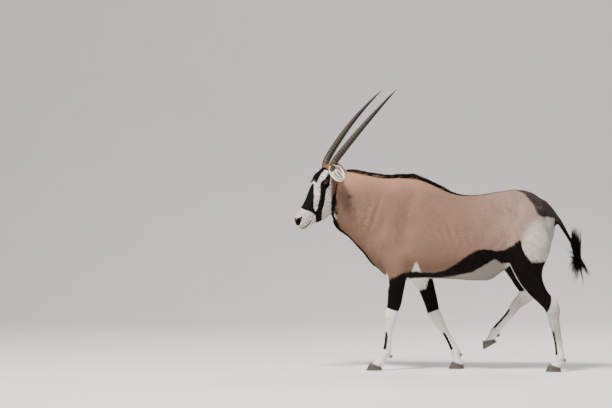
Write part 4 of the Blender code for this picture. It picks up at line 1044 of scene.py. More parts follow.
def tufted(name, root, outward, direction, length, width, thick, bend=None, steps=1, spot=None):
    """Tapering tufts of three sides, from sunk roots along straight or bending lines to their tips.

    point(t) = root + length * (t * direction + t^2 * bend), and the three corners
    of a ring stand width across and thick above it, narrowing as (1 - t)^0.7.
    """
    count = len(root)
    length, width, thick = (np.broadcast_to(v, count)[:, None] for v in (length, width, thick))
    bend = np.zeros((count, 3)) if bend is None else bend
    rings = []
    for k in range(steps):
        t = k / steps
        at = root + length * (t * direction + t * t * bend)
        along = normalised(direction + 2 * t * bend)
        side = normalised(np.cross(outward, along))
        over = np.cross(along, side)
        narrow = (1 - t) ** 0.7 * (0.75 + 0.5 * math.sin(math.pi * min(2 * t, 1)) if steps > 1 else 1)
        rings += [at - side * width * narrow / 2, at + side * width * narrow / 2, at + over * thick * narrow]
    tip = root + length * (direction + bend)
    size = 3 * steps + 1
    points = np.stack(rings + [tip], axis=1).reshape(-1, 3)
    one = []
    for k in range(steps - 1):
        for a, b in ((0, 2), (2, 1), (1, 0)):
            one += [(3 * k + b, 3 * k + a, 3 * k + 3 + a), (3 * k + b, 3 * k + 3 + a, 3 * k + 3 + b)]
    last = 3 * (steps - 1)
    one += [(last + 2, last, size - 1), (last + 1, last + 2, size - 1), (last, last + 1, size - 1)]
    faces = (np.arange(count)[:, None, None] * size + np.array(one)[None]).reshape(-1, 3)
    obj = filled(name, points, faces)
    obj.data.shade_flat()
    share = np.tile(np.append(np.repeat(np.arange(steps) / steps, 3), 1.0), count)
    put(obj, tip=share)
    spot = unwrapped(root) if spot is None else spot
    corner = np.tile([(-0.0015, -0.001), (0.0015, -0.001), (0.0, 0.001)], (steps, 1))
    corner[:, 1] += np.repeat(np.arange(steps) / steps * 0.001, 3)
    corner = np.vstack([corner, (0.0, 0.002)])
    flat = (spot[:, None] + corner[None]).reshape(-1, 2)[faces.ravel()]
    obj.data.uv_layers.new(name="OFBake").data.foreach_set("uv", flat.astype(np.float32).ravel())
    return obj


# How far the edges of the markings stray from tuft to tuft
RAGGED = 0.002


def shaded(obj, count, dark, white, draw):
    """Gives each of count tufts its markings and a shade of its own."""
    per = len(obj.data.vertices) // count
    kept = {"dark": dark, "white": white, "shade": draw.uniform(-1, 1, count)}
    put(obj, **{name: np.repeat(np.broadcast_to(value, count), per) for name, value in kept.items()})
    return obj


def marked(obj, root, outward, draw, darker=0.0, less_white=0.0):
    """Gives tufts the markings at their roots, with ragged edges, and a little darker where asked."""
    dark, white = markings(root, outward)
    dark = dark + draw.normal(0, RAGGED, len(root))
    white = white + draw.normal(0, RAGGED, len(root))
    return shaded(obj, len(root), dark + darker, white - less_white, draw)


def sway(points, seed, scale):
    """A smooth wandering number over space, between about -1 and 1, from crossed waves."""
    draw = np.random.default_rng(seed)
    total = np.zeros(len(points))
    for _ in range(7):
        wave = draw.normal(0, scale, 3)
        total += np.sin(points @ wave + draw.uniform(0, 6.28))
    return total / 3.2


def lie_of_coat(points, outward):
    """The way the hair lies along the skin: back and down the body, down the legs, and up the face."""
    x, y, z = points.T
    flow = np.tile((1.0, 0.0, -0.22), (len(points), 1))
    on_neck_side = smooth(-0.22 - x, 0, 0.12)
    on_shoulder = smooth(0.95 - z, 0, 0.20) * smooth(0.16 - np.abs(x + 0.25), 0, 0.10)
    on_thigh = smooth(x, 0.38, 0.55) * smooth(1.00 - z, 0, 0.25)
    for share, turned in (
        (on_neck_side, (0.85, 0.0, -0.55)),
        (on_shoulder, (0.45, 0.0, -1.0)),
        (on_thigh, (0.30, 0.0, -1.0)),
    ):
        flow += share[:, None] * (np.array(turned) - flow)
    for name in LIMB_TABLES:
        line, down, _, _ = limb_line(name)
        k = nearest(points, line)
        on = smooth(0.78 - z, 0, 0.14) * smooth(y * LIMB_TABLES[name][2], 0, 0.04)
        on = on * smooth(0.22 - np.linalg.norm(points - line[k], axis=1), 0, 0.10)
        flow += on[:, None] * (down[k] - flow)
    tail = tail_line()
    along = normalised(np.gradient(tail, axis=0))
    k = nearest(points, tail)
    on = smooth(x, 0.66, 0.72) * (np.linalg.norm(points - tail[k], axis=1) < 0.06)
    flow += on[:, None] * (along[k] - flow)
    face, brow, _ = (np.array(v) for v in head_axes())
    on = smooth(past_head_plane(points), -0.03, 0.02)
    flow += on[:, None] * (-face - 0.15 * brow - flow)
    flow -= outward * (flow * outward).sum(1, keepdims=True)
    return normalised(flow + 1e-9)


def skin_triangles(skin):
    """The skin's points, the way out at each, and its triangles' corners."""
    mesh = skin.data
    mesh.calc_loop_triangles()
    corners = np.empty(len(mesh.loop_triangles) * 3, np.int32)
    mesh.loop_triangles.foreach_get("vertices", corners)
    return coordinates(mesh), normals(mesh), corners.reshape(-1, 3)


def bare(points):
    """True where no coat grows: in the eyes' openings, the nostrils, the mouth and the hooves."""
    none = np.zeros(len(points), bool)
    for side in (-1, 1):
        local = in_eye(points, side)
        x, y, z = local.T
        none |= (lid_distance(y, z) < 0.0022) & (x > 0) & (np.linalg.norm(local, axis=1) < 0.04)
    _, gap, pit = muzzle_depth(points)
    local, _ = on_head(points)
    none |= (pit > 0.002) | ((gap < 0.0016) & (local[:, 0] > 0.36))
    for foot in FEET:
        local = np.array(hoof_matrix(foot).inverted())
        at = points @ local[:3, :3].T + local[:3, 3]
        within = (np.abs(at[:, 0]) < 0.08) & (np.abs(at[:, 1]) < 0.07)
        none |= within & (at[:, 2] < CORONET_HEIGHT + CORONET_SLOPE * at[:, 0] - 0.003)
    return none


def coat_places(points):
    """The pieces of the short coat: how many tufts each has, and which places it covers."""
    x, y, z = points.T
    head_part = past_head_plane(points) > 0
    neck_part = (x < -0.30) & (z > 0.60) & ~head_part
    fore = (z < 0.60) & (x < 0.26) & ~head_part & ~neck_part
    hind = (x > 0.26) & (((x > 0.36) & (z < 0.82)) | (x > 0.60) | (z < 0.60))
    trunk_part = ~(head_part | neck_part | fore | hind)
    return {
        "coat_head": (66000, head_part),
        "coat_neck": (62000, neck_part),
        "coat_trunk_left": (62000, trunk_part & (y < 0)),
        "coat_trunk_right": (62000, trunk_part & (y >= 0)),
        "coat_fore_legs": (48000, fore),
        "coat_hind_legs": (64000, hind),
    }


def fur_size(points):
    """Length of the short coat: shortest on the face and feet, longer on the body."""
    x, _, z = points.T
    local, _ = on_head(points)
    face = smooth(past_head_plane(points), -0.02, 0.02)
    low = smooth(0.50 - z, 0, 0.15)
    size = 0.0150 - 0.0075 * low
    size += 0.004 * smooth(0.60 - z, 0, 0.03) * smooth(z, 0.50, 0.53) * (np.abs(x) < 0.35)
    on_face = np.interp(local[:, 0], [0.0, 0.1, 0.3, 0.40], [0.0100, 0.0070, 0.0060, 0.0042])
    return size + face * (on_face - size)


def scattered(points, outward, corners, weight, count, draw):
    """Evenly spread roots over the triangles, by area times weight, and the way out at each."""
    first, second, third = (points[corners[:, k]] for k in range(3))
    area = np.linalg.norm(np.cross(second - first, third - first), axis=1)
    share = np.cumsum(area * weight)
    pick = np.searchsorted(share / share[-1], (np.arange(count) + draw.random(count)) / count)
    a, b = draw.random((2, count))
    flip = a + b > 1
    a, b = np.where(flip, 1 - a, a), np.where(flip, 1 - b, b)
    mix = np.stack([1 - a - b, a, b], axis=1)[..., None]
    return (points[corners[pick]] * mix).sum(1), normalised((outward[corners[pick]] * mix).sum(1))


def short_coat(skin, draw):
    """The short coat: tufts that lie along the skin, shorter and closer on the face and the legs."""
    points, outward, corners = skin_triangles(skin)
    middle = points[corners].mean(1)
    weight = ~bare(middle) / fur_size(middle) ** 1.2
    pieces = []
    for name, (count, mask) in coat_places(middle).items():
        root, up = scattered(points, outward, corners, weight * mask, count, draw)
        flow = lie_of_coat(root, up)
        aside = np.cross(up, flow)
        turn = 0.06 * sway(root, 3, 30) + 0.03 * sway(root, 4, 110) + draw.normal(0, 0.05, count)
        flow = normalised(flow + aside * turn[:, None])
        size = fur_size(root) * draw.uniform(0.75, 1.25, count)
        lift = 0.07 + 0.010 * sway(root, 5, 60) + draw.uniform(-0.02, 0.03, count)
        direction = normalised(flow + up * lift[:, None])
        width = 0.00030 + size * 0.15
        obj = tufted(name, root - up * 0.0004, up, direction, size, width, width * 0.12)
        pieces.append(marked(obj, root, up, draw))
    return pieces


# How far the stiff hair reaches each side of the middle line, by place along the body
CREST_WIDTH = [
    (-0.62, 0.007), (-0.5, 0.010), (-0.2, 0.012), (0.0, 0.010), (0.3, 0.007), (0.48, 0.010), (0.6, 0.02),
]
# The stiff hair by place along the body: its length, and how far it stands up
CREST_HAIR = [
    (-0.62, 0.022, 1.15), (-0.50, 0.030, 1.0), (-0.20, 0.042, 0.90), (0.00, 0.040, 0.80),
    (0.08, 0.034, 0.55), (0.16, 0.026, 0.26), (0.64, 0.020, 0.12),
]
# Its pieces: name, number of tufts, where along the body it starts and ends, rings in a tuft
CREST_PIECES = [("mane", 8000, -0.585, -0.190, 3), ("back_line", 7000, -0.200, 0.640, 2)]


def crest_roots(skin, count, start, end, draw):
    """Roots along the middle line of the neck and back, on the skin, thickest at the line itself."""
    points, outward, corners = skin_triangles(skin)
    x, y, z = points[corners].mean(1).T
    rows = resampled(NECK, 60)[::-1]
    wide = np.interp(x, *np.array(CREST_WIDTH).T)
    off = (y - np.interp(x, rows[:, 0], rows[:, 4])) / wide
    on = (x > start) & (x < end) & (z > 1.0) & (outward[corners].mean(1)[:, 2] > 0.4)
    return scattered(points, outward, corners, on * np.exp(-(off**2)), count, draw)


def mane(skin, draw):
    """Short stiff hair standing along the neck and over the withers, and lying low along the back."""
    pieces = []
    place, reach, upright = np.array(CREST_HAIR).T
    for name, count, start, end, steps in CREST_PIECES:
        root, up = crest_roots(skin, count, start, end, draw)
        length = np.interp(root[:, 0], place, reach) * draw.uniform(0.72, 1.12, count)
        stand = np.interp(root[:, 0], place, upright)
        stand = stand * (1 + draw.normal(0, 0.16, count)) + 0.08 * sway(root, 8, 60)
        flow = normalised(np.array([1.0, 0, 0]) - up * up[:, :1])
        aside = np.cross(up, flow) * draw.normal(0, 0.16, count)[:, None]
        direction = flow * 0.75 + up * stand[:, None] + aside
        bend = flow * 0.25 - up * (0.45 * stand)[:, None]
        obj = tufted(name, root - up * 0.001, up, direction, length, 0.0030, 0.0012, bend, steps)
        pieces.append(marked(obj, root, up, draw, 0.010, 0.02))
    return pieces


def throat_fringe(skin, draw):
    """Longer dark hair down the front of the throat to the chest, hanging forwards and down."""
    points, outward, corners = skin_triangles(skin)
    middle, facing = points[corners].mean(1), outward[corners].mean(1)
    _, _, aside, _ = on_neck(middle)
    x, y, z = middle.T
    wanted = (x < -0.30) & (z > 0.64) & (z < 0.97) & (np.abs(y - aside) < 0.022) & (facing[:, 0] < -0.35)
    root, up = scattered(points, outward, corners, wanted & (past_head_plane(middle) < -0.01), 5500, draw)
    stops = [0.64, 0.755, 0.80, 0.86, 0.91, 0.95, 0.97]
    length = np.interp(root[:, 2], stops, [0.009, 0.014, 0.016, 0.019, 0.019, 0.014, 0.010])
    flow = lie_of_coat(root, up)
    turn = np.cross(up, flow) * draw.normal(0, 0.14, len(root))[:, None]
    stand = 0.66 + draw.normal(0, 0.14, len(root)) + 0.08 * sway(root, 9, 70)
    direction = 0.8 * flow + up * stand[:, None] + turn
    bend = 0.15 * flow - up * (0.28 * stand)[:, None]
    length = length * draw.uniform(0.7, 1.1, len(root))
    obj = tufted("throat_fringe", root - up * 0.001, up, direction, length, 0.0022, 0.0010, bend, 2)
    return marked(obj, root, up, draw, 0.012, 0.02)


# The stretch of the tail that carries the long hair (x, z)
TUFT_ROOTS = [(0.790, 0.811), (0.803, 0.787), (0.832, 0.725), (0.858, 0.664)]


def locks(count, clumps, heads, sideways, leans, rise, curl, sizes, loose, tops, draw):
    """Hair of the tail in clumps: roots along the bone, directions, bends and lengths.

    Each clump keeps its own head, lean and size, and its hairs stray from them a
    little. With tops given, a lock's size is how far its tip passes that height.
    """
    bone = resampled([(x, 0.0, z) for x, z in TUFT_ROOTS], 200)
    clump = np.arange(count) % clumps
    place = draw.uniform(*heads, clumps)[clump] + draw.normal(0, 4, count)
    at = bone[np.clip(place, 0, 199).astype(int)]
    lean = draw.uniform(*leans, clumps)[clump] + draw.normal(0, loose, count)
    spread = draw.normal(0, sideways, clumps)[clump]
    stray = draw.normal(0, loose, count)
    direction = np.column_stack([lean, spread + stray, rise + draw.normal(0, 0.04, count)])
    bend = np.column_stack([-curl * lean, -0.35 * spread, 0.10 * rise + draw.normal(0, 0.05, count)])
    size = draw.uniform(*sizes, clumps)[clump] + (0 if tops is None else tops - at[:, 2])
    return at + draw.normal(0, 0.004, (count, 3)), direction, bend, size * draw.uniform(0.65, 1.05, count)


def tail_hair(draw):
    """The tuft of the tail: locks flicked up behind it, locks falling, and strays curling forwards."""
    kinds = [
        (820, 14, (80, 195), 0.12, (-0.20, 0.22), 0.95, 0.5, (-0.06, 0.018), 0.011, 0.868, draw),
        (420, 24, (60, 199), 0.16, (-0.20, 0.20), -0.85, 0.2, (0.05, 0.08), 0.040, None, draw),
        (560, 22, (150, 199), 0.24, (-0.85, 0.85), -0.80, 0.2, (0.06, 0.120), 0.020, None, draw),
        (110, 4, (150, 190), 0.20, (-0.80, -0.55), 0.42, -0.5, (0.06, 0.085), 0.050, None, draw),
        (110, 4, (170, 199), 0.20, (-1.00, -0.80), -0.10, -0.1, (0.05, 0.075), 0.050, None, draw),
        (150, 9, (140, 199), 0.16, (-0.22, 0.25), -0.95, -0.1, (0.12, 0.165), 0.012, None, draw),
    ]
    found = [locks(*kind) for kind in kinds]
    root, direction, bend, length = (np.concatenate(v) for v in zip(*found))
    count = len(root)
    facing = normalised(np.cross(direction, (0.0, 1.0, 0.0)) + draw.normal(0, 0.3, (count, 3)))
    width = draw.uniform(0.0018, 0.0038, count)
    obj = tufted("tail_hair", root, facing, direction, length, width, 0.0011, bend, 6)
    return shaded(obj, count, 0.03, -0.03, draw)


EAR_BASE = Vector((0.035, 0.042, 0.060))
EAR_HALF_WALL = 0.0016
# Each ear's axis and the way it opens, in the head's frame; the right one is laid further back
EAR_AXES = {
    1: ((0.42, -0.40, 0.815), (-0.249, 0.813, 0.526)),
    -1: ((0.20, -0.78, -0.60), (-0.249, 0.700, -0.670)),
}


def ear_surface(side, u, v, raised):
    """Points of an ear: a cupped leaf, rolled at its root, raised above its middle surface.

    Across at (u, v): half(u) / sin(curl(u)) turned by v * curl(u), and out along the axis by u.
    """
    axis, opening = (Vector(v).normalized() for v in EAR_AXES[side])
    opening = (opening - axis * opening.dot(axis)).normalized()
    across = np.array(axis.cross(opening))
    stops = [0, 0.12, 0.3, 0.52, 0.75, 0.9, 0.97, 1]
    half = np.interp(u, stops, [0.018, 0.024, 0.036, 0.041, 0.034, 0.020, 0.010, 0.001])
    curl = np.radians(np.interp(u, [0, 0.15, 0.4, 0.7, 1], [150, 125, 92, 66, 40]))
    radius = half / np.sin(np.minimum(curl, math.pi / 2))
    angle = v * curl
    wide = (radius + raised) * np.sin(angle)
    deep = radius - (radius + raised) * np.cos(angle) - 0.010 + 0.018 * u**2
    out = u * EAR_LENGTH - 0.012
    local = np.array((EAR_BASE.x, EAR_BASE.y, side * EAR_BASE.z)) + out[..., None] * np.array(axis)
    local = local + wide[..., None] * across + deep[..., None] * np.array(opening)
    return in_head(local.reshape(-1, 3)).reshape(local.shape)


def ear_marks(u, v, inner):
    """White with a pale rim, grey streaks along the inside, and a dark edge to the tip and at the root."""
    rim = np.abs(v)
    streak = 0.0013 * np.sin(19 * v + 2.5 * np.sin(5 * u)) + 0.0010 * np.sin(43 * v + 9 * u)
    inside_dark = streak - 0.0004 + 0.0009 * np.sin(3.0 * v + 1.2) - 0.006 * smooth(rim, 0.66, 0.82)
    dark = np.where(inner, inside_dark - 0.003 * smooth(0.30 - u, 0, 0.2), -0.006)
    dark = np.maximum(dark, np.minimum((u - 0.90) * 0.02, (rim - 0.55) * 0.01))
    dark = np.maximum(dark, (0.10 - u) * 0.03 - 0.02 * np.abs(rim - 0.8))
    white = np.where(inner, 0.0045, 0.006) - 0.004 * np.sin(9 * v + 7 * u) * (rim < 0.7) * inner
    return dark, white


def ear_shell(side, name):
    """An ear's wall: the leaf raised to both sides of its middle surface, joined round its rim."""
    rows, across = 60, 49
    u, v = np.meshgrid(np.linspace(0, 1, rows), np.linspace(-1, 1, across), indexing="ij")
    ripple = 0.0004 * np.sin(v * 14) * np.sin(math.pi * u)
    outer = ear_surface(side, u, v, EAR_HALF_WALL)
    inner = ear_surface(side, u, v, ripple - EAR_HALF_WALL)
    ring = np.concatenate([outer, inner[:, ::-1]], axis=1)
    j = np.arange(across - 1)
    root_end = np.column_stack([j, j + 1, 2 * across - 2 - j, 2 * across - 1 - j])
    ends = np.vstack([root_end, root_end + (rows - 1) * 2 * across])
    obj = turned_out(filled(name, ring.reshape(-1, 3), grid_faces(rows, 2 * across), ends))
    both_u = np.concatenate([u, u[:, ::-1]], axis=1).ravel()
    both_v = np.concatenate([v, v[:, ::-1]], axis=1).ravel()
    is_inner = np.tile(np.arange(2 * across) >= across, rows)
    dark, white = ear_marks(both_u, both_v, is_inner)
    put(obj, dark=dark, white=white, shade=0 * dark, tip=0 * dark + 0.4)
    return obj


def ear_hair(side, name, draw):
    """An ear's hair in three kinds: long along the rim, short within, and shorter on its back."""
    count = 6500
    at_u = draw.uniform(0.10, 0.985, count)
    kind = np.arange(count) % 3
    along_rim, on_back = kind == 0, kind == 2
    at_rim = np.sign(draw.uniform(-1, 1, count)) * draw.uniform(0.86, 0.99, count)
    at_v = np.where(along_rim, at_rim, draw.uniform(-0.98, 0.98, count))
    raised = np.where(on_back, 0.0014, -0.0014)
    root = ear_surface(side, at_u, at_v, raised)
    along = normalised(ear_surface(side, at_u + 0.01, at_v, raised) - root)
    up = normalised(ear_surface(side, at_u, at_v, raised * 2) - root)
    inwards = normalised(ear_surface(side, at_u, at_v * 0.85, raised) - root + 1e-9)
    length = np.where(along_rim, draw.uniform(0.012, 0.024, count), np.where(kind == 1, 0.008, 0.0055))
    length = length * (1 - 0.45 * at_u)
    toward = np.where(along_rim[:, None], 0.9 * inwards + 0.3 * up, 0.12 * up)
    direction = normalised(along + toward + draw.normal(0, 0.12, (count, 3)))
    bend = np.where(along_rim[:, None], 0.25 * along - 0.2 * up, 0)
    spot_x = 0.81 + 0.09 * (side > 0) + 0.08 * at_u
    spot = np.column_stack([spot_x, 0.25 + 0.12 * at_v + 0.12 * np.where(on_back, 1, -1)])
    hair = tufted(name, root, up, direction, length, 0.0011, 0.0004, bend, 2, spot)
    dark, white = ear_marks(at_u, at_v, ~on_back)
    return shaded(hair, count, dark + draw.normal(0, 0.001, count), white, draw)


def horn_path(side, count):
    """Middle line of a horn in the head's frame, gently curved back and spreading."""
    u = np.linspace(0, 1, count)
    along = 0.041 + 0.009 * u - HORN_LENGTH * u
    high = 0.0600 + 0.059 * u - 0.0760 * u**2 - 0.020 * np.exp(-((u / 0.05) ** 2))
    aside = side * (0.044 + 0.145 * u - 0.098 * u**2)
    return u, np.column_stack([along, high, aside])


def horn_radius(u):
    """The horn's radius without its rings, from root to tip."""
    return HORN_BASE_RADIUS * np.interp(u, [0, 0.15, 0.4, 0.7, 0.9, 1], [1.0, 0.98, 0.84, 0.54, 0.28, 0.05])


# Where the rings start and end, as shares of the horn's length
HORN_RING_START, HORN_RING_END = 0.060, 0.66


def horn(side, name):
    """A tapering horn with slanting rings over its lower two thirds, and fine lengthwise grooves.

    radius(u, a) = base(u) * (1 + ring(phase(u) + 0.13 sin(a + 0.6)) * fade(u) + grooves(a))
    """
    rows, around = 420, 72
    u, path = horn_path(side, rows)
    angle = np.linspace(0, 2 * math.pi, around, endpoint=False)[None]
    phase = (u[:, None] - HORN_RING_START) / (HORN_RING_END - HORN_RING_START) * HORN_RINGS
    phase = phase + 0.13 * np.sin(angle + 0.6) + 0.10 * np.sin(46 * u[:, None])
    wave = (0.5 + 0.5 * np.cos(2 * math.pi * (phase - 0.5))) ** 1.5
    fade_stops = [0, 0.03, HORN_RING_START, 0.45, HORN_RING_END, 0.72]
    fade = np.interp(u, fade_stops, [0.2, 0.5, 1, 1, 0.35, 0])[:, None]
    grooves = 0.0035 * np.sin(angle * 23 + 2 * np.sin(u[:, None] * 15))
    grooves = grooves * np.interp(u, [0, 0.7, 1], [1, 0.6, 0.1])[:, None]
    radius = horn_radius(u)[:, None] * (1 + (0.088 * wave - 0.040) * fade + grooves)
    along = normalised(np.gradient(path, axis=0))
    aside = normalised(np.array((0.0, 0.0, 1.0)) - along * along[:, 2:])
    front = np.cross(aside, along)
    rings = path[:, None] + front[:, None] * (radius * 1.04 * np.sin(angle))[..., None]
    rings += aside[:, None] * (radius * 0.96 * np.cos(angle))[..., None]
    rings = in_head(rings.reshape(-1, 3)).reshape(rings.shape)
    obj = tube(name, rings)
    ring = np.append((wave * fade).ravel(), (0.0, 0.0))
    put(obj, along=np.append(np.repeat(u, around), (0.0, 1.0)), ring=ring)
    return obj


def hoof_matrix(foot):
    """The foot's frame: X towards the toe, Z out of the ankle, on the middle of the sole."""
    side, (x, z), dip, place = FEET[foot]
    turn = Matrix.Rotation(math.pi, 4, "Z")
    tilt = Matrix.Rotation(dip, 4, "Y")
    return Matrix.Translation((x, side * place, z)) @ turn @ tilt


def claw(name, foot, half):
    """Half a cloven hoof, with growth rings round its wall and a rounded edge at the sole.

    Each level is an oval pointed at the toe, shorter and narrower than the one below it,
    and the levels slope up to the toe: height = level * (coronet + slope * x).
    """
    rows, around = 26, 48
    level = np.linspace(0, 1, rows)[:, None]
    angle = np.linspace(0, 2 * math.pi, around, endpoint=False)[None]
    edge = np.interp(level, [0, 0.08, 1], [0.965, 1, 1])
    length = HOOF_LENGTH / 2 * (1 - 0.30 * level) * edge
    ring = 0.00022 * np.sin(level * 70 + 1.5 * np.cos(angle))
    wide = (0.0205 - 0.0025 * level) * edge + ring
    x = -0.0105 * level + (length + ring) * np.cos(angle)
    pointed = 1 - 0.34 * np.maximum(np.cos(angle), 0) ** 2
    y = half * (HOOF_GAP / 2 + 0.0205) + wide * np.sin(angle) * pointed
    y = y - half * 0.006 * np.maximum(x / HOOF_LENGTH * 2, 0) ** 2
    height = level * (CORONET_HEIGHT + CORONET_SLOPE * x)
    rings = np.stack([x, y, height], axis=-1)
    obj = tube(name, rings)
    put(obj, level=np.append(np.repeat(level.ravel(), around), (0.0, 1.0)))
    obj.data.transform(hoof_matrix(foot))
    return obj


# Where the small false hooves stand behind each fetlock (x, z), and their lean
DEWCLAWS = {
    "fore_left": (-0.297, 0.086, 0.5),
    "fore_right": (0.120, 0.086, 0.1),
    "hind_left": (0.768, 0.068, 0.4),
    "hind_right": (0.352, 0.207, 0.9),
}


def dewclaws():
    """The eight small false hooves, as horny blunt stubs half sunk in the fur."""
    rings = ball_rings(16, 24)[..., [1, 2, 0]] * (0.0078, 0.0066, 0.0110)
    rows, around = rings.shape[:2]
    stub = np.vstack([rings.reshape(-1, 3), rings[0].mean(0), rings[-1].mean(0)])
    stubs = []
    for foot, (x, z, lean) in DEWCLAWS.items():
        side, _, _, place = FEET[foot]
        turn = np.array(Matrix.Rotation(lean, 3, "Y"))
        stubs += [stub @ turn.T + (x, side * place + half * 0.016, z) for half in (-1, 1)]
    start = len(stub) * np.arange(len(stubs))[:, None, None]
    sets = [(faces + start).reshape(-1, faces.shape[1]) for faces in tube_faces(rows, around)]
    obj = turned_out(filled("dewclaws", np.vstack(stubs), *sets))
    put(obj, level=np.full(len(stub) * len(stubs), 0.92))
    return obj


def eyeball(side, name):
    """A ball that bulges a little over the iris, and keeps for its material where it looks.

    reach = radius * (1 + 0.035 * s), where s falls evenly from 1 over the pupil to 0 past the iris
    """
    obj = tube(name, ball_rings(64, 96))
    local = coordinates(obj.data)
    off = np.hypot(local[:, 1], local[:, 2]) * EYE_RADIUS
    reach = EYE_RADIUS * (1 + 0.035 * smooth(0.0125 - off, 0, 0.006) * (local[:, 0] > 0))
    set_coordinates(obj.data, out_of_eye(local * reach[:, None], side))
    put(obj, across=local[:, 1] * EYE_RADIUS, above=local[:, 2] * EYE_RADIUS, ahead=local[:, 0])
    return obj


def upper_lid(sweep):
    """Along the upper lid's edge: radius * sin(a) across, and radius * (cos(a) - 1) + height up."""
    return LID_RADIUS * np.sin(sweep), LID_RADIUS * np.cos(sweep) - LID_RADIUS + LID_HALF_HEIGHT


def lid_rim(side, name):
    """The dark wet edge of the lids, as a fine tube round the almond opening, over the ball.

    ring(a) = edge + rim radius * (out * cos(a) + inwards * sin(a))
    """
    upper = np.column_stack(upper_lid(np.linspace(-LID_SWEEP, LID_SWEEP, 61)))
    loop = np.vstack([upper[:-1], (upper * (1, -1))[::-1][:-1]])
    depth = np.sqrt((EYE_RADIUS + 0.0004) ** 2 - (loop**2).sum(1))
    centre = np.column_stack([depth, loop])
    along = normalised(np.roll(centre, -1, axis=0) - np.roll(centre, 1, axis=0))
    out = normalised(centre)
    inwards = np.cross(along, out)
    angle = np.linspace(0, 2 * math.pi, 10, endpoint=False)
    ring = out[:, None] * np.cos(angle)[:, None] + inwards[:, None] * np.sin(angle)[:, None]
    points = out_of_eye((centre[:, None] + LID_RIM_RADIUS * ring).reshape(-1, 3), side)
    return turned_out(filled(name, points, grid_faces(len(loop) + 1, 10) % len(points)))


def lashes(side, name, draw):
    """Short dark lashes along the upper lid, swept outwards and back."""
    count = 260
    top = LID_SWEEP * 0.93
    y, z = upper_lid(draw.uniform(-top, top, count))
    z = z + 0.0004
    local = np.column_stack([np.sqrt((EYE_RADIUS + 0.001) ** 2 - y**2 - z**2), y, z])
    direction = np.column_stack([0.9 + 0 * y, y * 18, 0.15 + draw.uniform(0, 0.25, count)])
    bend = np.column_stack([-0.35 + 0 * y, y * 10, 0.45 + 0 * y])
    turn = np.array(eye_frame(side))[:3, :3]
    direction, bend = normalised(direction) @ turn.T, bend @ turn.T
    up = normalised(np.cross(direction, turn[:, 1]))
    length = draw.uniform(0.006, 0.011, count)
    obj = tufted(name, out_of_eye(local, side), up, direction, length, 0.0005, 0.0004, bend, 3)
    return shaded(obj, count, 0.03, -0.03, draw)


class Value:
    """A number worked out by a material's nodes, with operators for its maths."""

    def __init__(self, shader, socket):
        self.shader, self.socket = shader, socket

    def maths(self, operation, first, second=0.0):
        made_node = self.shader.node("ShaderNodeMath", {"operation": operation}, {0: first, 1: second})
        return Value(self.shader, made_node.outputs[0])

    def __add__(self, other):
        return self.maths("ADD", self, other)

    def __radd__(self, other):
        return self.maths("ADD", other, self)

    def __sub__(self, other):
        return self.maths("SUBTRACT", self, other)

    def __rsub__(self, other):
        return self.maths("SUBTRACT", other, self)

    def __mul__(self, other):
        return self.maths("MULTIPLY", self, other)

    def __rmul__(self, other):
        return self.maths("MULTIPLY", other, self)

    def __truediv__(self, other):
        return self.maths("DIVIDE", self, other)

    def __rtruediv__(self, other):
        return self.maths("DIVIDE", other, self)

    def __neg__(self):
        return self.maths("MULTIPLY", self, -1.0)

    def root(self):
        return self.maths("SQRT", self)

    def sine(self):
        return self.maths("SINE", self)

    def step(self, low, high, to_low=0.0, to_high=1.0):
        """An even S from to_low at low to to_high at high."""
        made_node = self.shader.node(
            "ShaderNodeMapRange",
            {"interpolation_type": "SMOOTHSTEP"},
            {"Value": self, "From Min": low, "From Max": high, "To Min": to_low, "To Max": to_high},
        )
        return Value(self.shader, made_node.outputs[0])


class Shader:
    """A material being built round one Principled shader."""

    def __init__(self, name, **constants):
        self.material = bpy.data.materials.new(name)
        self.material.use_nodes = True
        self.tree = self.material.node_tree
        self.main = self.tree.nodes["Principled BSDF"]
        for key, value in constants.items():
            self.main.inputs[key.replace("_", " ")].default_value = value

    def node(self, kind, settings, sockets):
        """Any other node, with its settings and what goes into its sockets."""
        made_node = self.tree.nodes.new(kind)
        for key, value in settings.items():
            setattr(made_node, key, value)
        for key, value in sockets.items():
            self.feed(made_node.inputs[key], value)
        return made_node

    def feed(self, socket, value):
        if isinstance(value, Value):
            value = value.socket
        if isinstance(value, bpy.types.NodeSocket):
            self.tree.links.new(value, socket)
        else:
            socket.default_value = value

    def out(self, **values):
        for key, value in values.items():
            self.feed(self.main.inputs[key.replace("_", " ")], value)
        return self.material

    def kept(self, name):
        """A number that the mesh keeps on its points."""
        return Value(self, self.node("ShaderNodeAttribute", {"attribute_name": name}, {}).outputs["Fac"])

    def place(self):
        return self.node("ShaderNodeTexCoord", {}, {}).outputs["Object"]

    def stretched(self, scale):
        return self.node("ShaderNodeMapping", {}, {"Vector": self.place(), "Scale": scale}).outputs[0]

    def noise(self, scale, detail=3.0, roughness=0.55, vector=None, distortion=0.0):
        """A wandering number about 0, from roughly -1 to 1."""
        made_node = self.node(
            "ShaderNodeTexNoise",
            {},
            {
                "Vector": vector or self.place(),
                "Scale": scale,
                "Detail": detail,
                "Roughness": roughness,
                "Distortion": distortion,
            },
        )
        return (Value(self, made_node.outputs[0]) - 0.5) * 2.6

    def mix(self, share, first, second, blend="MIX"):
        """From the first colour to the second by a share."""
        made_node = self.node(
            "ShaderNodeMix", {"data_type": "RGBA", "blend_type": blend}, {0: share, 6: first, 7: second}
        )
        return made_node.outputs[2]

    def bump(self, height, strength, distance):
        sockets = {"Height": height, "Strength": strength, "Distance": distance}
        return self.node("ShaderNodeBump", {}, sockets).outputs[0]


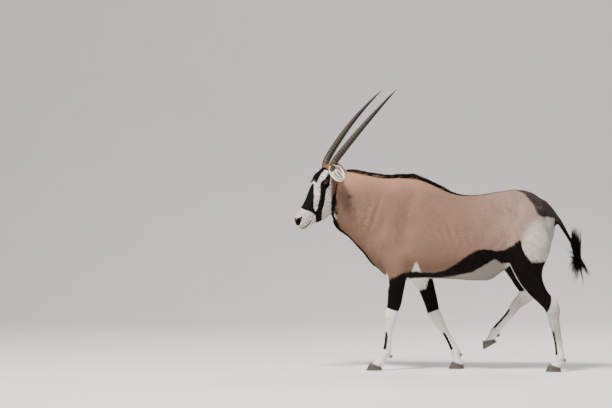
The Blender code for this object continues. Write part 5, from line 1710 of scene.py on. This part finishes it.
# Colours of the coat
FAWN = (0.206, 0.117, 0.081, 1)
FAWN_WARM = (0.420, 0.225, 0.138, 1)
FAWN_PINK = (0.308, 0.202, 0.166, 1)
FAWN_GREY = (0.118, 0.086, 0.072, 1)
WHITE = (0.920, 0.850, 0.750, 1)
WHITE_GREY = (0.700, 0.665, 0.610, 1)
# The rump's white: a grey mottling with painted shade over it
RUMP_GREY_AND_SHADE = (0.300, 0.268, 0.225, 1)
HIND_GREY = (0.230, 0.198, 0.168, 1)
# Painted shade under the belly
BELLY_SHADE = (0.135, 0.108, 0.086, 1)
DUST = (0.520, 0.390, 0.270, 1)
DARK = (0.0028, 0.0019, 0.0018, 1)
DARK_BROWN = (0.014, 0.0068, 0.0048, 1)
# Painted sheen on the near black over the top of the croup
CROUP_SHEEN = (0.058, 0.045, 0.043, 1)

# Colours of the horns
HORN_GROOVE = (0.006, 0.0045, 0.0035, 1)
HORN_RING = (0.058, 0.043, 0.030, 1)
HORN_WORN = (0.056, 0.041, 0.031, 1)
HORN_ROOT = (0.150, 0.108, 0.072, 1)
HORN_TIP = (0.014, 0.011, 0.010, 1)

# Colours of the hooves
HOOF_DARK = (0.040, 0.034, 0.030, 1)
HOOF_PALE = (0.120, 0.102, 0.085, 1)
CORONET_PALE = (0.25, 0.22, 0.18, 1)
SOLE_DUST = (0.150, 0.115, 0.085, 1)

# Colours of the eyes and lids, and half the pupil's length and height
IRIS_BROWN = (0.022, 0.010, 0.005, 1)
IRIS_EDGE = (0.010, 0.006, 0.004, 1)
EYE_WHITE = (0.030, 0.018, 0.014, 1)
EYE_WHITE_DARK = (0.014, 0.008, 0.006, 1)
PUPIL = (0.0025, 0.0025, 0.004, 1)
PUPIL_SIZE = (0.0082, 0.0034)
LID_DARK = (0.012, 0.009, 0.008, 1)
LID_BROWN = (0.034, 0.024, 0.020, 1)

# Colours of the floor
FLOOR_GREY = (0.70, 0.69, 0.67, 1)
FLOOR_PALE = (0.73, 0.72, 0.70, 1)


def coat_looks(name, on_skin):
    """The coat's colours: fawn, white and near black by the markings kept on each piece.

    Each marking is a distance from its edge in metres, above 0 within it. Noise added to it
    makes the edge ragged, and an even S over about 3 mm (10 mm for white) mixes the colours.
    """
    shader = Shader(name, Specular_IOR_Level=0.06)
    shade, tip = shader.kept("shade"), shader.kept("tip")
    broad = shader.noise(5.5, 3.0)
    middling = shader.noise(34, 4.0, 0.6)
    fine = shader.noise(420, 3.0, 0.6)
    streak = shader.noise(1.0, 3.0, 0.6, shader.stretched((90, 260, 90)))
    ragged = 0.0022 * shader.noise(150, 3.0) + 0.0012 * fine
    apart = shader.node("ShaderNodeSeparateXYZ", {}, {0: shader.place()}).outputs
    ahead, height = Value(shader, apart[0]), Value(shader, apart[2])
    brushed = shader.noise(1.0, 3.0, 0.6, shader.stretched((120, 150, 32)))
    # Fawn: pinker behind, greyed in patches, warmer on the neck
    fawn = shader.mix((ahead + 0.05 * broad).step(0.12, 0.55), FAWN, FAWN_PINK)
    greyed = (broad * 0.24 + middling * 0.22 + brushed * 0.34).step(0.08, -0.50) * 0.8
    fawn = shader.mix(greyed, fawn, FAWN_GREY)
    warm = (height + 0.04 * broad).step(1.06, 1.22) * (0.2 - ahead).step(0.0, 0.25) * 0.7
    fawn = shader.mix(warm, fawn, FAWN_WARM)
    # White: clean on the face, with painted shade under the belly and, over a grey mottling, on the rump,
    # dusty on the feet, and darker grey down the lower hind legs
    face = (-0.60 - ahead).step(0.0, 0.05) * height.step(0.78, 0.82)
    white = shader.mix((middling * 0.6 + broad * 0.5 + face * 0.8).step(-0.5, 0.9), WHITE_GREY, WHITE)
    # Painted shade: the white turns a dark warm grey under the belly
    belly = (ahead + 0.10).step(0.0, 0.06) * (0.47 - ahead).step(0.0, 0.08)
    belly = belly * height.step(0.52, 0.56) * (0.73 - height).step(0.0, 0.04)
    white = shader.mix(belly * (brushed * 0.4).step(-0.9, 0.6, 0.95, 0.7), white, BELLY_SHADE)
    # Painted shade, broken by a grey mottling, on the white of the rump and buttocks
    rump = (ahead + 0.02 * middling).step(0.40, 0.47) * (height + 0.02 * middling).step(0.56, 0.62)
    white = shader.mix(rump * (brushed * 0.5 + middling * 0.3).step(-0.9, 0.5, 1.0, 0.55), white, RUMP_GREY_AND_SHADE)
    dirt = (0.5 - height + 0.10 * broad).step(0.0, 0.45) * (middling + 0.25 * fine).step(0.0, 1.1) * 0.6
    white = shader.mix(dirt, white, DUST)
    hind = ahead.step(0.40, 0.50) * (0.48 - height).step(0.0, 0.10) * (height - 0.12).step(0.0, 0.10)
    white = shader.mix(hind * (brushed * 0.6 + middling * 0.4).step(0.7, -0.9, 0.50, 0.95), white, HIND_GREY)
    # Near black: browner here and there, and lightened by a painted sheen over the top of the croup
    dark = shader.mix((middling + 0.6 * shade).step(-0.4, 1.6), DARK, DARK_BROWN)
    # Painted sheen: the near black lifts to a brown-grey where light falls on the croup's top
    croup = (height + 0.02 * broad).step(0.86, 0.98) * ahead.step(0.30, 0.42)
    croup = croup * (brushed * 0.4 + shade * 0.3).step(-0.8, 0.6)
    dark = shader.mix(croup, dark, CROUP_SHEEN)
    # The white fades more slowly into the fawn at the top of the rump
    soft = 1.0 + 5.0 * rump * height.step(0.72, 0.86)
    colour = shader.mix(((shader.kept("white") + ragged * 1.6) / soft).step(-0.0045, 0.0060), fawn, white)
    colour = shader.mix((shader.kept("dark") + ragged).step(-0.0014, 0.0014), colour, dark)
    value = 1.0 + 0.09 * shade + 0.07 * fine + 0.13 * streak + 0.18 * (tip - 0.45)
    grey = shader.node("ShaderNodeCombineColor", {}, {0: value, 1: value, 2: value}).outputs[0]
    colour = shader.mix(1.0, colour, grey, "MULTIPLY")
    rough = 0.62 + 0.08 * fine + 0.05 * shade
    if on_skin:
        hair = shader.noise(1.0, 4.0, 0.65, shader.stretched((160, 420, 160)))
        normal = shader.bump(hair * 0.6 + fine * 0.5 + middling * 0.5, 0.55, 0.0018)
        return shader.out(Base_Color=colour, Roughness=rough, Normal=normal)
    normal = shader.bump(fine + streak, 0.12, 0.0005)
    return shader.out(Base_Color=colour, Roughness=rough, Normal=normal)


def horn_looks():
    """Near black between the rings, worn brown on them, paler at the root and smooth at the tip."""
    shader = Shader("horn_rings", Specular_IOR_Level=0.22, Coat_Roughness=0.35)
    u, ring = shader.kept("along"), shader.kept("ring")
    grain = shader.noise(1.0, 5.0, 0.65, shader.stretched((60, 420, 140)))
    speck, broad = shader.noise(260, 4.0, 0.6), shader.noise(16, 3.0)
    base = shader.mix(ring.step(0.25, 0.85), HORN_GROOVE, HORN_RING)
    base = shader.mix((grain + broad * 0.6).step(-0.6, 1.2) * 0.45, base, HORN_WORN)
    base = shader.mix((0.14 - u + 0.02 * broad).step(0.0, 0.14) * 0.45, base, HORN_ROOT)
    tip = (u + 0.03 * broad).step(0.55, 0.86)
    base = shader.mix(tip, base, HORN_TIP)
    rough = 0.52 + 0.08 * speck - 0.16 * tip
    normal = shader.bump(grain * 0.7 + speck * 0.35, 0.5, 0.0009)
    return shader.out(Base_Color=base, Roughness=rough, Normal=normal, Coat_Weight=0.06 * tip)


def hoof_looks():
    """Grey-brown horn with fine growth rings, pale by the coronet and dusty by the sole."""
    shader = Shader("hoof_horn", Specular_IOR_Level=0.4)
    level = shader.kept("level")
    grain = shader.noise(1.0, 5.0, 0.6, shader.stretched((220, 220, 45)))
    mud = shader.noise(38, 5.0, 0.6)
    rings = (level * 70.0 + 1.2 * mud).sine()
    base = shader.mix((grain + 0.3 * rings).step(-0.8, 1.2), HOOF_DARK, HOOF_PALE)
    base = shader.mix(level.step(0.78, 1.0) * 0.6, base, CORONET_PALE)
    base = shader.mix((mud - 1.2 * level).step(-0.6, 0.7) * 0.7, base, SOLE_DUST)
    normal = shader.bump(grain * 0.6 + rings * 0.5 + mud * 0.5, 0.5, 0.0008)
    return shader.out(Base_Color=base, Roughness=0.55 + 0.14 * mud, Normal=normal)


def eye_looks():
    """Dark brown round a level, oblong pupil, and darker still where the white would be."""
    shader = Shader("eye_wet", Specular_IOR_Level=0.35, Coat_Roughness=0.04, IOR=1.36)
    across, above, ahead = (shader.kept(name) for name in ("across", "above", "ahead"))
    off = (across * across + above * above).root()
    slot_x, slot_z = across / PUPIL_SIZE[0], above / PUPIL_SIZE[1]
    pupil = (slot_x * slot_x + slot_z * slot_z).root()
    veins = shader.noise(300, 4.0, 0.6)
    iris = shader.mix((off + 0.0010 * veins).step(0.003, 0.011), IRIS_BROWN, IRIS_EDGE)
    white = shader.mix(veins.step(-0.6, 1.0), EYE_WHITE, EYE_WHITE_DARK)
    base = shader.mix(off.step(0.0108, 0.0128), iris, white)
    base = shader.mix(pupil.step(1.12, 0.92), base, PUPIL)
    return shader.out(Base_Color=base, Roughness=0.10 + 0.03 * veins, Coat_Weight=0.45 + 0.05 * ahead)


def lid_looks():
    """Moist dark skin with fine creases."""
    shader = Shader("lid_skin", Specular_IOR_Level=0.5)
    crease = shader.noise(700, 4.0, 0.6)
    base = shader.mix(crease.step(-0.6, 1.0), LID_DARK, LID_BROWN)
    normal = shader.bump(crease, 0.5, 0.0004)
    return shader.out(Base_Color=base, Roughness=0.30 + 0.08 * crease, Normal=normal)


def floor_looks():
    """A pale matt sheet, clear from its back, so that the animal is seen through it from behind."""
    shader = Shader("pale_floor", Specular_IOR_Level=0.2)
    speck = shader.noise(3.0, 4.0, 0.6)
    base = shader.mix(speck.step(-1.0, 1.0), FLOOR_GREY, FLOOR_PALE)
    back = shader.node("ShaderNodeNewGeometry", {}, {}).outputs["Backfacing"]
    clear = shader.node("ShaderNodeBsdfTransparent", {}, {}).outputs[0]
    sheet = shader.node("ShaderNodeMixShader", {}, {0: back, 1: shader.main.outputs[0], 2: clear})
    shader.feed(shader.tree.nodes["Material Output"].inputs["Surface"], sheet.outputs[0])
    return shader.out(Base_Color=base, Roughness=0.85 + 0.02 * speck)


# Nodes that the skin stands for, and pieces of near black hair
FLESH = [
    "torso", "neck", "head", "tail", "tail_tuft",
    "foreleg_left_upper", "foreleg_left_lower", "foreleg_right_upper", "foreleg_right_lower",
    "hindleg_left_upper", "hindleg_left_lower", "hindleg_right_upper", "hindleg_right_lower",
]


DARK_HAIR = ("mane", "back_line", "throat_fringe", "tail_hair")


def placed(obj, looks, slot, *nodes):
    """Gives a piece its material and its place in the animal, moved as the solids stand."""
    obj.data.transform(SHIFT)
    obj.data.materials.clear()
    obj.data.materials.append(looks)
    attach(obj, "root")
    if nodes:
        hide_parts(*nodes)
    return obj


def blackened(points, dark):
    """The dark marking, with the nostrils, the lips' line and the eyes' surrounds added to it."""
    local, _ = on_head(points)
    _, gap, pit = muzzle_depth(points)
    dark = np.where(pit > 0.0035, 0.01, dark)
    dark = np.where((gap < 0.0030) & (local[:, 0] > 0.36), 0.004, dark)
    for side in (-1, 1):
        at = in_eye(points, side)
        x, y, z = at.T
        around_eye = (np.linalg.norm(at, axis=1) < 0.035) & (x > 0) & (lid_distance(y, z) < 0.004)
        dark = np.where(around_eye, 0.01, dark)
    return dark


def animal():
    """The whole animal: one skin with its coat, and the ears, horns, eyes and hooves."""
    draw = np.random.default_rng(7)
    skin_coat, hair_coat = coat_looks("coat_on_skin", True), coat_looks("coat_hair", False)
    horn_finish, hoof_finish = horn_looks(), hoof_looks()
    eye_finish, lid_finish = eye_looks(), lid_looks()
    skin = skin_shape()
    skin.name = "skin"
    bpy.context.view_layer.update()
    points, outward = coordinates(skin.data), normals(skin.data)
    dark, white = markings(points, outward)
    put(skin, dark=blackened(points, dark), white=white, shade=0 * dark, tip=0 * dark + 0.45)
    coat = short_coat(skin, draw)
    coat += mane(skin, draw)
    coat.append(throat_fringe(skin, draw))
    coat.append(tail_hair(draw))
    placed(skin, skin_coat, "fawn_coat", *FLESH)
    for piece in coat:
        placed(piece, hair_coat, "dark_coat" if piece.name in DARK_HAIR else "fawn_coat")
    for side, word in ((1, "left"), (-1, "right")):
        placed(ear_shell(side, "ear_shell_" + word), skin_coat, "white_coat", "ear_" + word)
        placed(ear_hair(side, f"ear_shell_{word}_hair", draw), hair_coat, "white_coat")
        placed(horn(side, "ringed_horn_" + word), horn_finish, "horn", "horn_" + word)
        placed(eyeball(side, "eyeball_" + word), eye_finish, "eye", "eye_" + word)
        placed(lid_rim(side, "lid_rim_" + word), lid_finish, "dark_coat")
        placed(lashes(side, "lashes_" + word, draw), hair_coat, "dark_coat")
    for foot in FEET:
        for half, word in ((-1, "a"), (1, "b")):
            placed(claw(f"claw_{foot}_{word}", foot, half), hoof_finish, "hoof", f"hoof_{foot}_{word}")
    placed(dewclaws(), hoof_finish, "hoof")


def lamp(name, place, aim, size, power, colour):
    """A round lamp at a place, turned to its aim."""
    light = bpy.data.lights.new(name, "AREA")
    light.shape, light.size, light.energy, light.color = "DISK", size, power, colour
    obj = bpy.data.objects.new(name, light)
    obj.location = place
    obj.rotation_euler = (Vector(aim) - Vector(place)).to_track_quat("-Z", "Y").to_euler()
    bpy.context.scene.collection.objects.link(obj)


# The backdrop: half its width, where its floor begins and bends up, the bend's reach, and its top
BACKDROP_HALF_WIDTH = 40.0
BACKDROP_FRONT, BACKDROP_BEND, BACKDROP_REACH, BACKDROP_TOP = -30.0, 5.0, 4.0, 30.0
# The photo's width and the distance of its camera's eye, both in pixels
PHOTO_WIDTH, PHOTO_FOCAL = 612, 3234
SENSOR_WIDTH = 36
# The camera stands 20 m off at 1.354 m above the ground, 6 degrees towards the tail
CAMERA_DISTANCE, CAMERA_HEIGHT, CAMERA_TURN = 20, 1.354, math.radians(6)
CAMERA_AIM = (-0.833, 0, 1.0195)


def backdrop():
    """A pale floor that bends up into a wall: a straight, a quarter circle, and a straight."""
    bend = np.linspace(0, math.pi / 2, 24)
    wall = BACKDROP_BEND + BACKDROP_REACH
    across = np.concatenate([[BACKDROP_FRONT], BACKDROP_BEND + BACKDROP_REACH * np.sin(bend), [wall]])
    rise = np.concatenate([[0.0], BACKDROP_REACH - BACKDROP_REACH * np.cos(bend), [BACKDROP_TOP]])
    levels = len(rise)
    sides = np.tile((-BACKDROP_HALF_WIDTH, BACKDROP_HALF_WIDTH), levels)
    sheet = np.column_stack([sides, np.repeat(across, 2), np.repeat(rise, 2)])
    floor = filled("floor", sheet, grid_faces(levels, 2, False))
    floor.data.materials.append(floor_looks())


def studio():
    """The backdrop, a pale room's light, three lamps, and a camera where the photo's stood."""
    backdrop()
    world = bpy.data.worlds.new("pale_room")
    world.use_nodes = True
    world.node_tree.nodes["Background"].inputs["Color"].default_value = (0.86, 0.90, 0.96, 1)
    world.node_tree.nodes["Background"].inputs["Strength"].default_value = 0.42
    bpy.context.scene.world = world
    lamp("key", (-1.8, -3.5, 6.8), (0, 0, 0.8), 1.7, 1200, (1.0, 0.97, 0.92))
    lamp("fill", (4.5, -3.5, 2.6), (0, 0, 0.8), 3.0, 60, (0.94, 0.97, 1.0))
    lamp("back", (1.5, 4.5, 4.6), (0, 0, 0.9), 2.4, 220, (1.0, 0.98, 0.95))
    camera = bpy.data.objects.new("camera", bpy.data.cameras.new("camera"))
    camera.data.sensor_width = SENSOR_WIDTH
    camera.data.lens = SENSOR_WIDTH * PHOTO_FOCAL / PHOTO_WIDTH
    aim = SHIFT @ Vector(CAMERA_AIM)
    sideways, back = CAMERA_DISTANCE * math.sin(CAMERA_TURN), CAMERA_DISTANCE * math.cos(CAMERA_TURN)
    camera.location = (aim.x + sideways, aim.y - back, CAMERA_HEIGHT)
    camera.rotation_euler = (aim - camera.location).to_track_quat("-Z", "Y").to_euler()
    camera.data.clip_end = 200
    bpy.context.scene.collection.objects.link(camera)
    bpy.context.scene.camera = camera


low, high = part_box("eye_left")
SHIFT = Matrix.Translation((low + high) / 2 - Vector(eye_centre(1)))
animal()
studio()
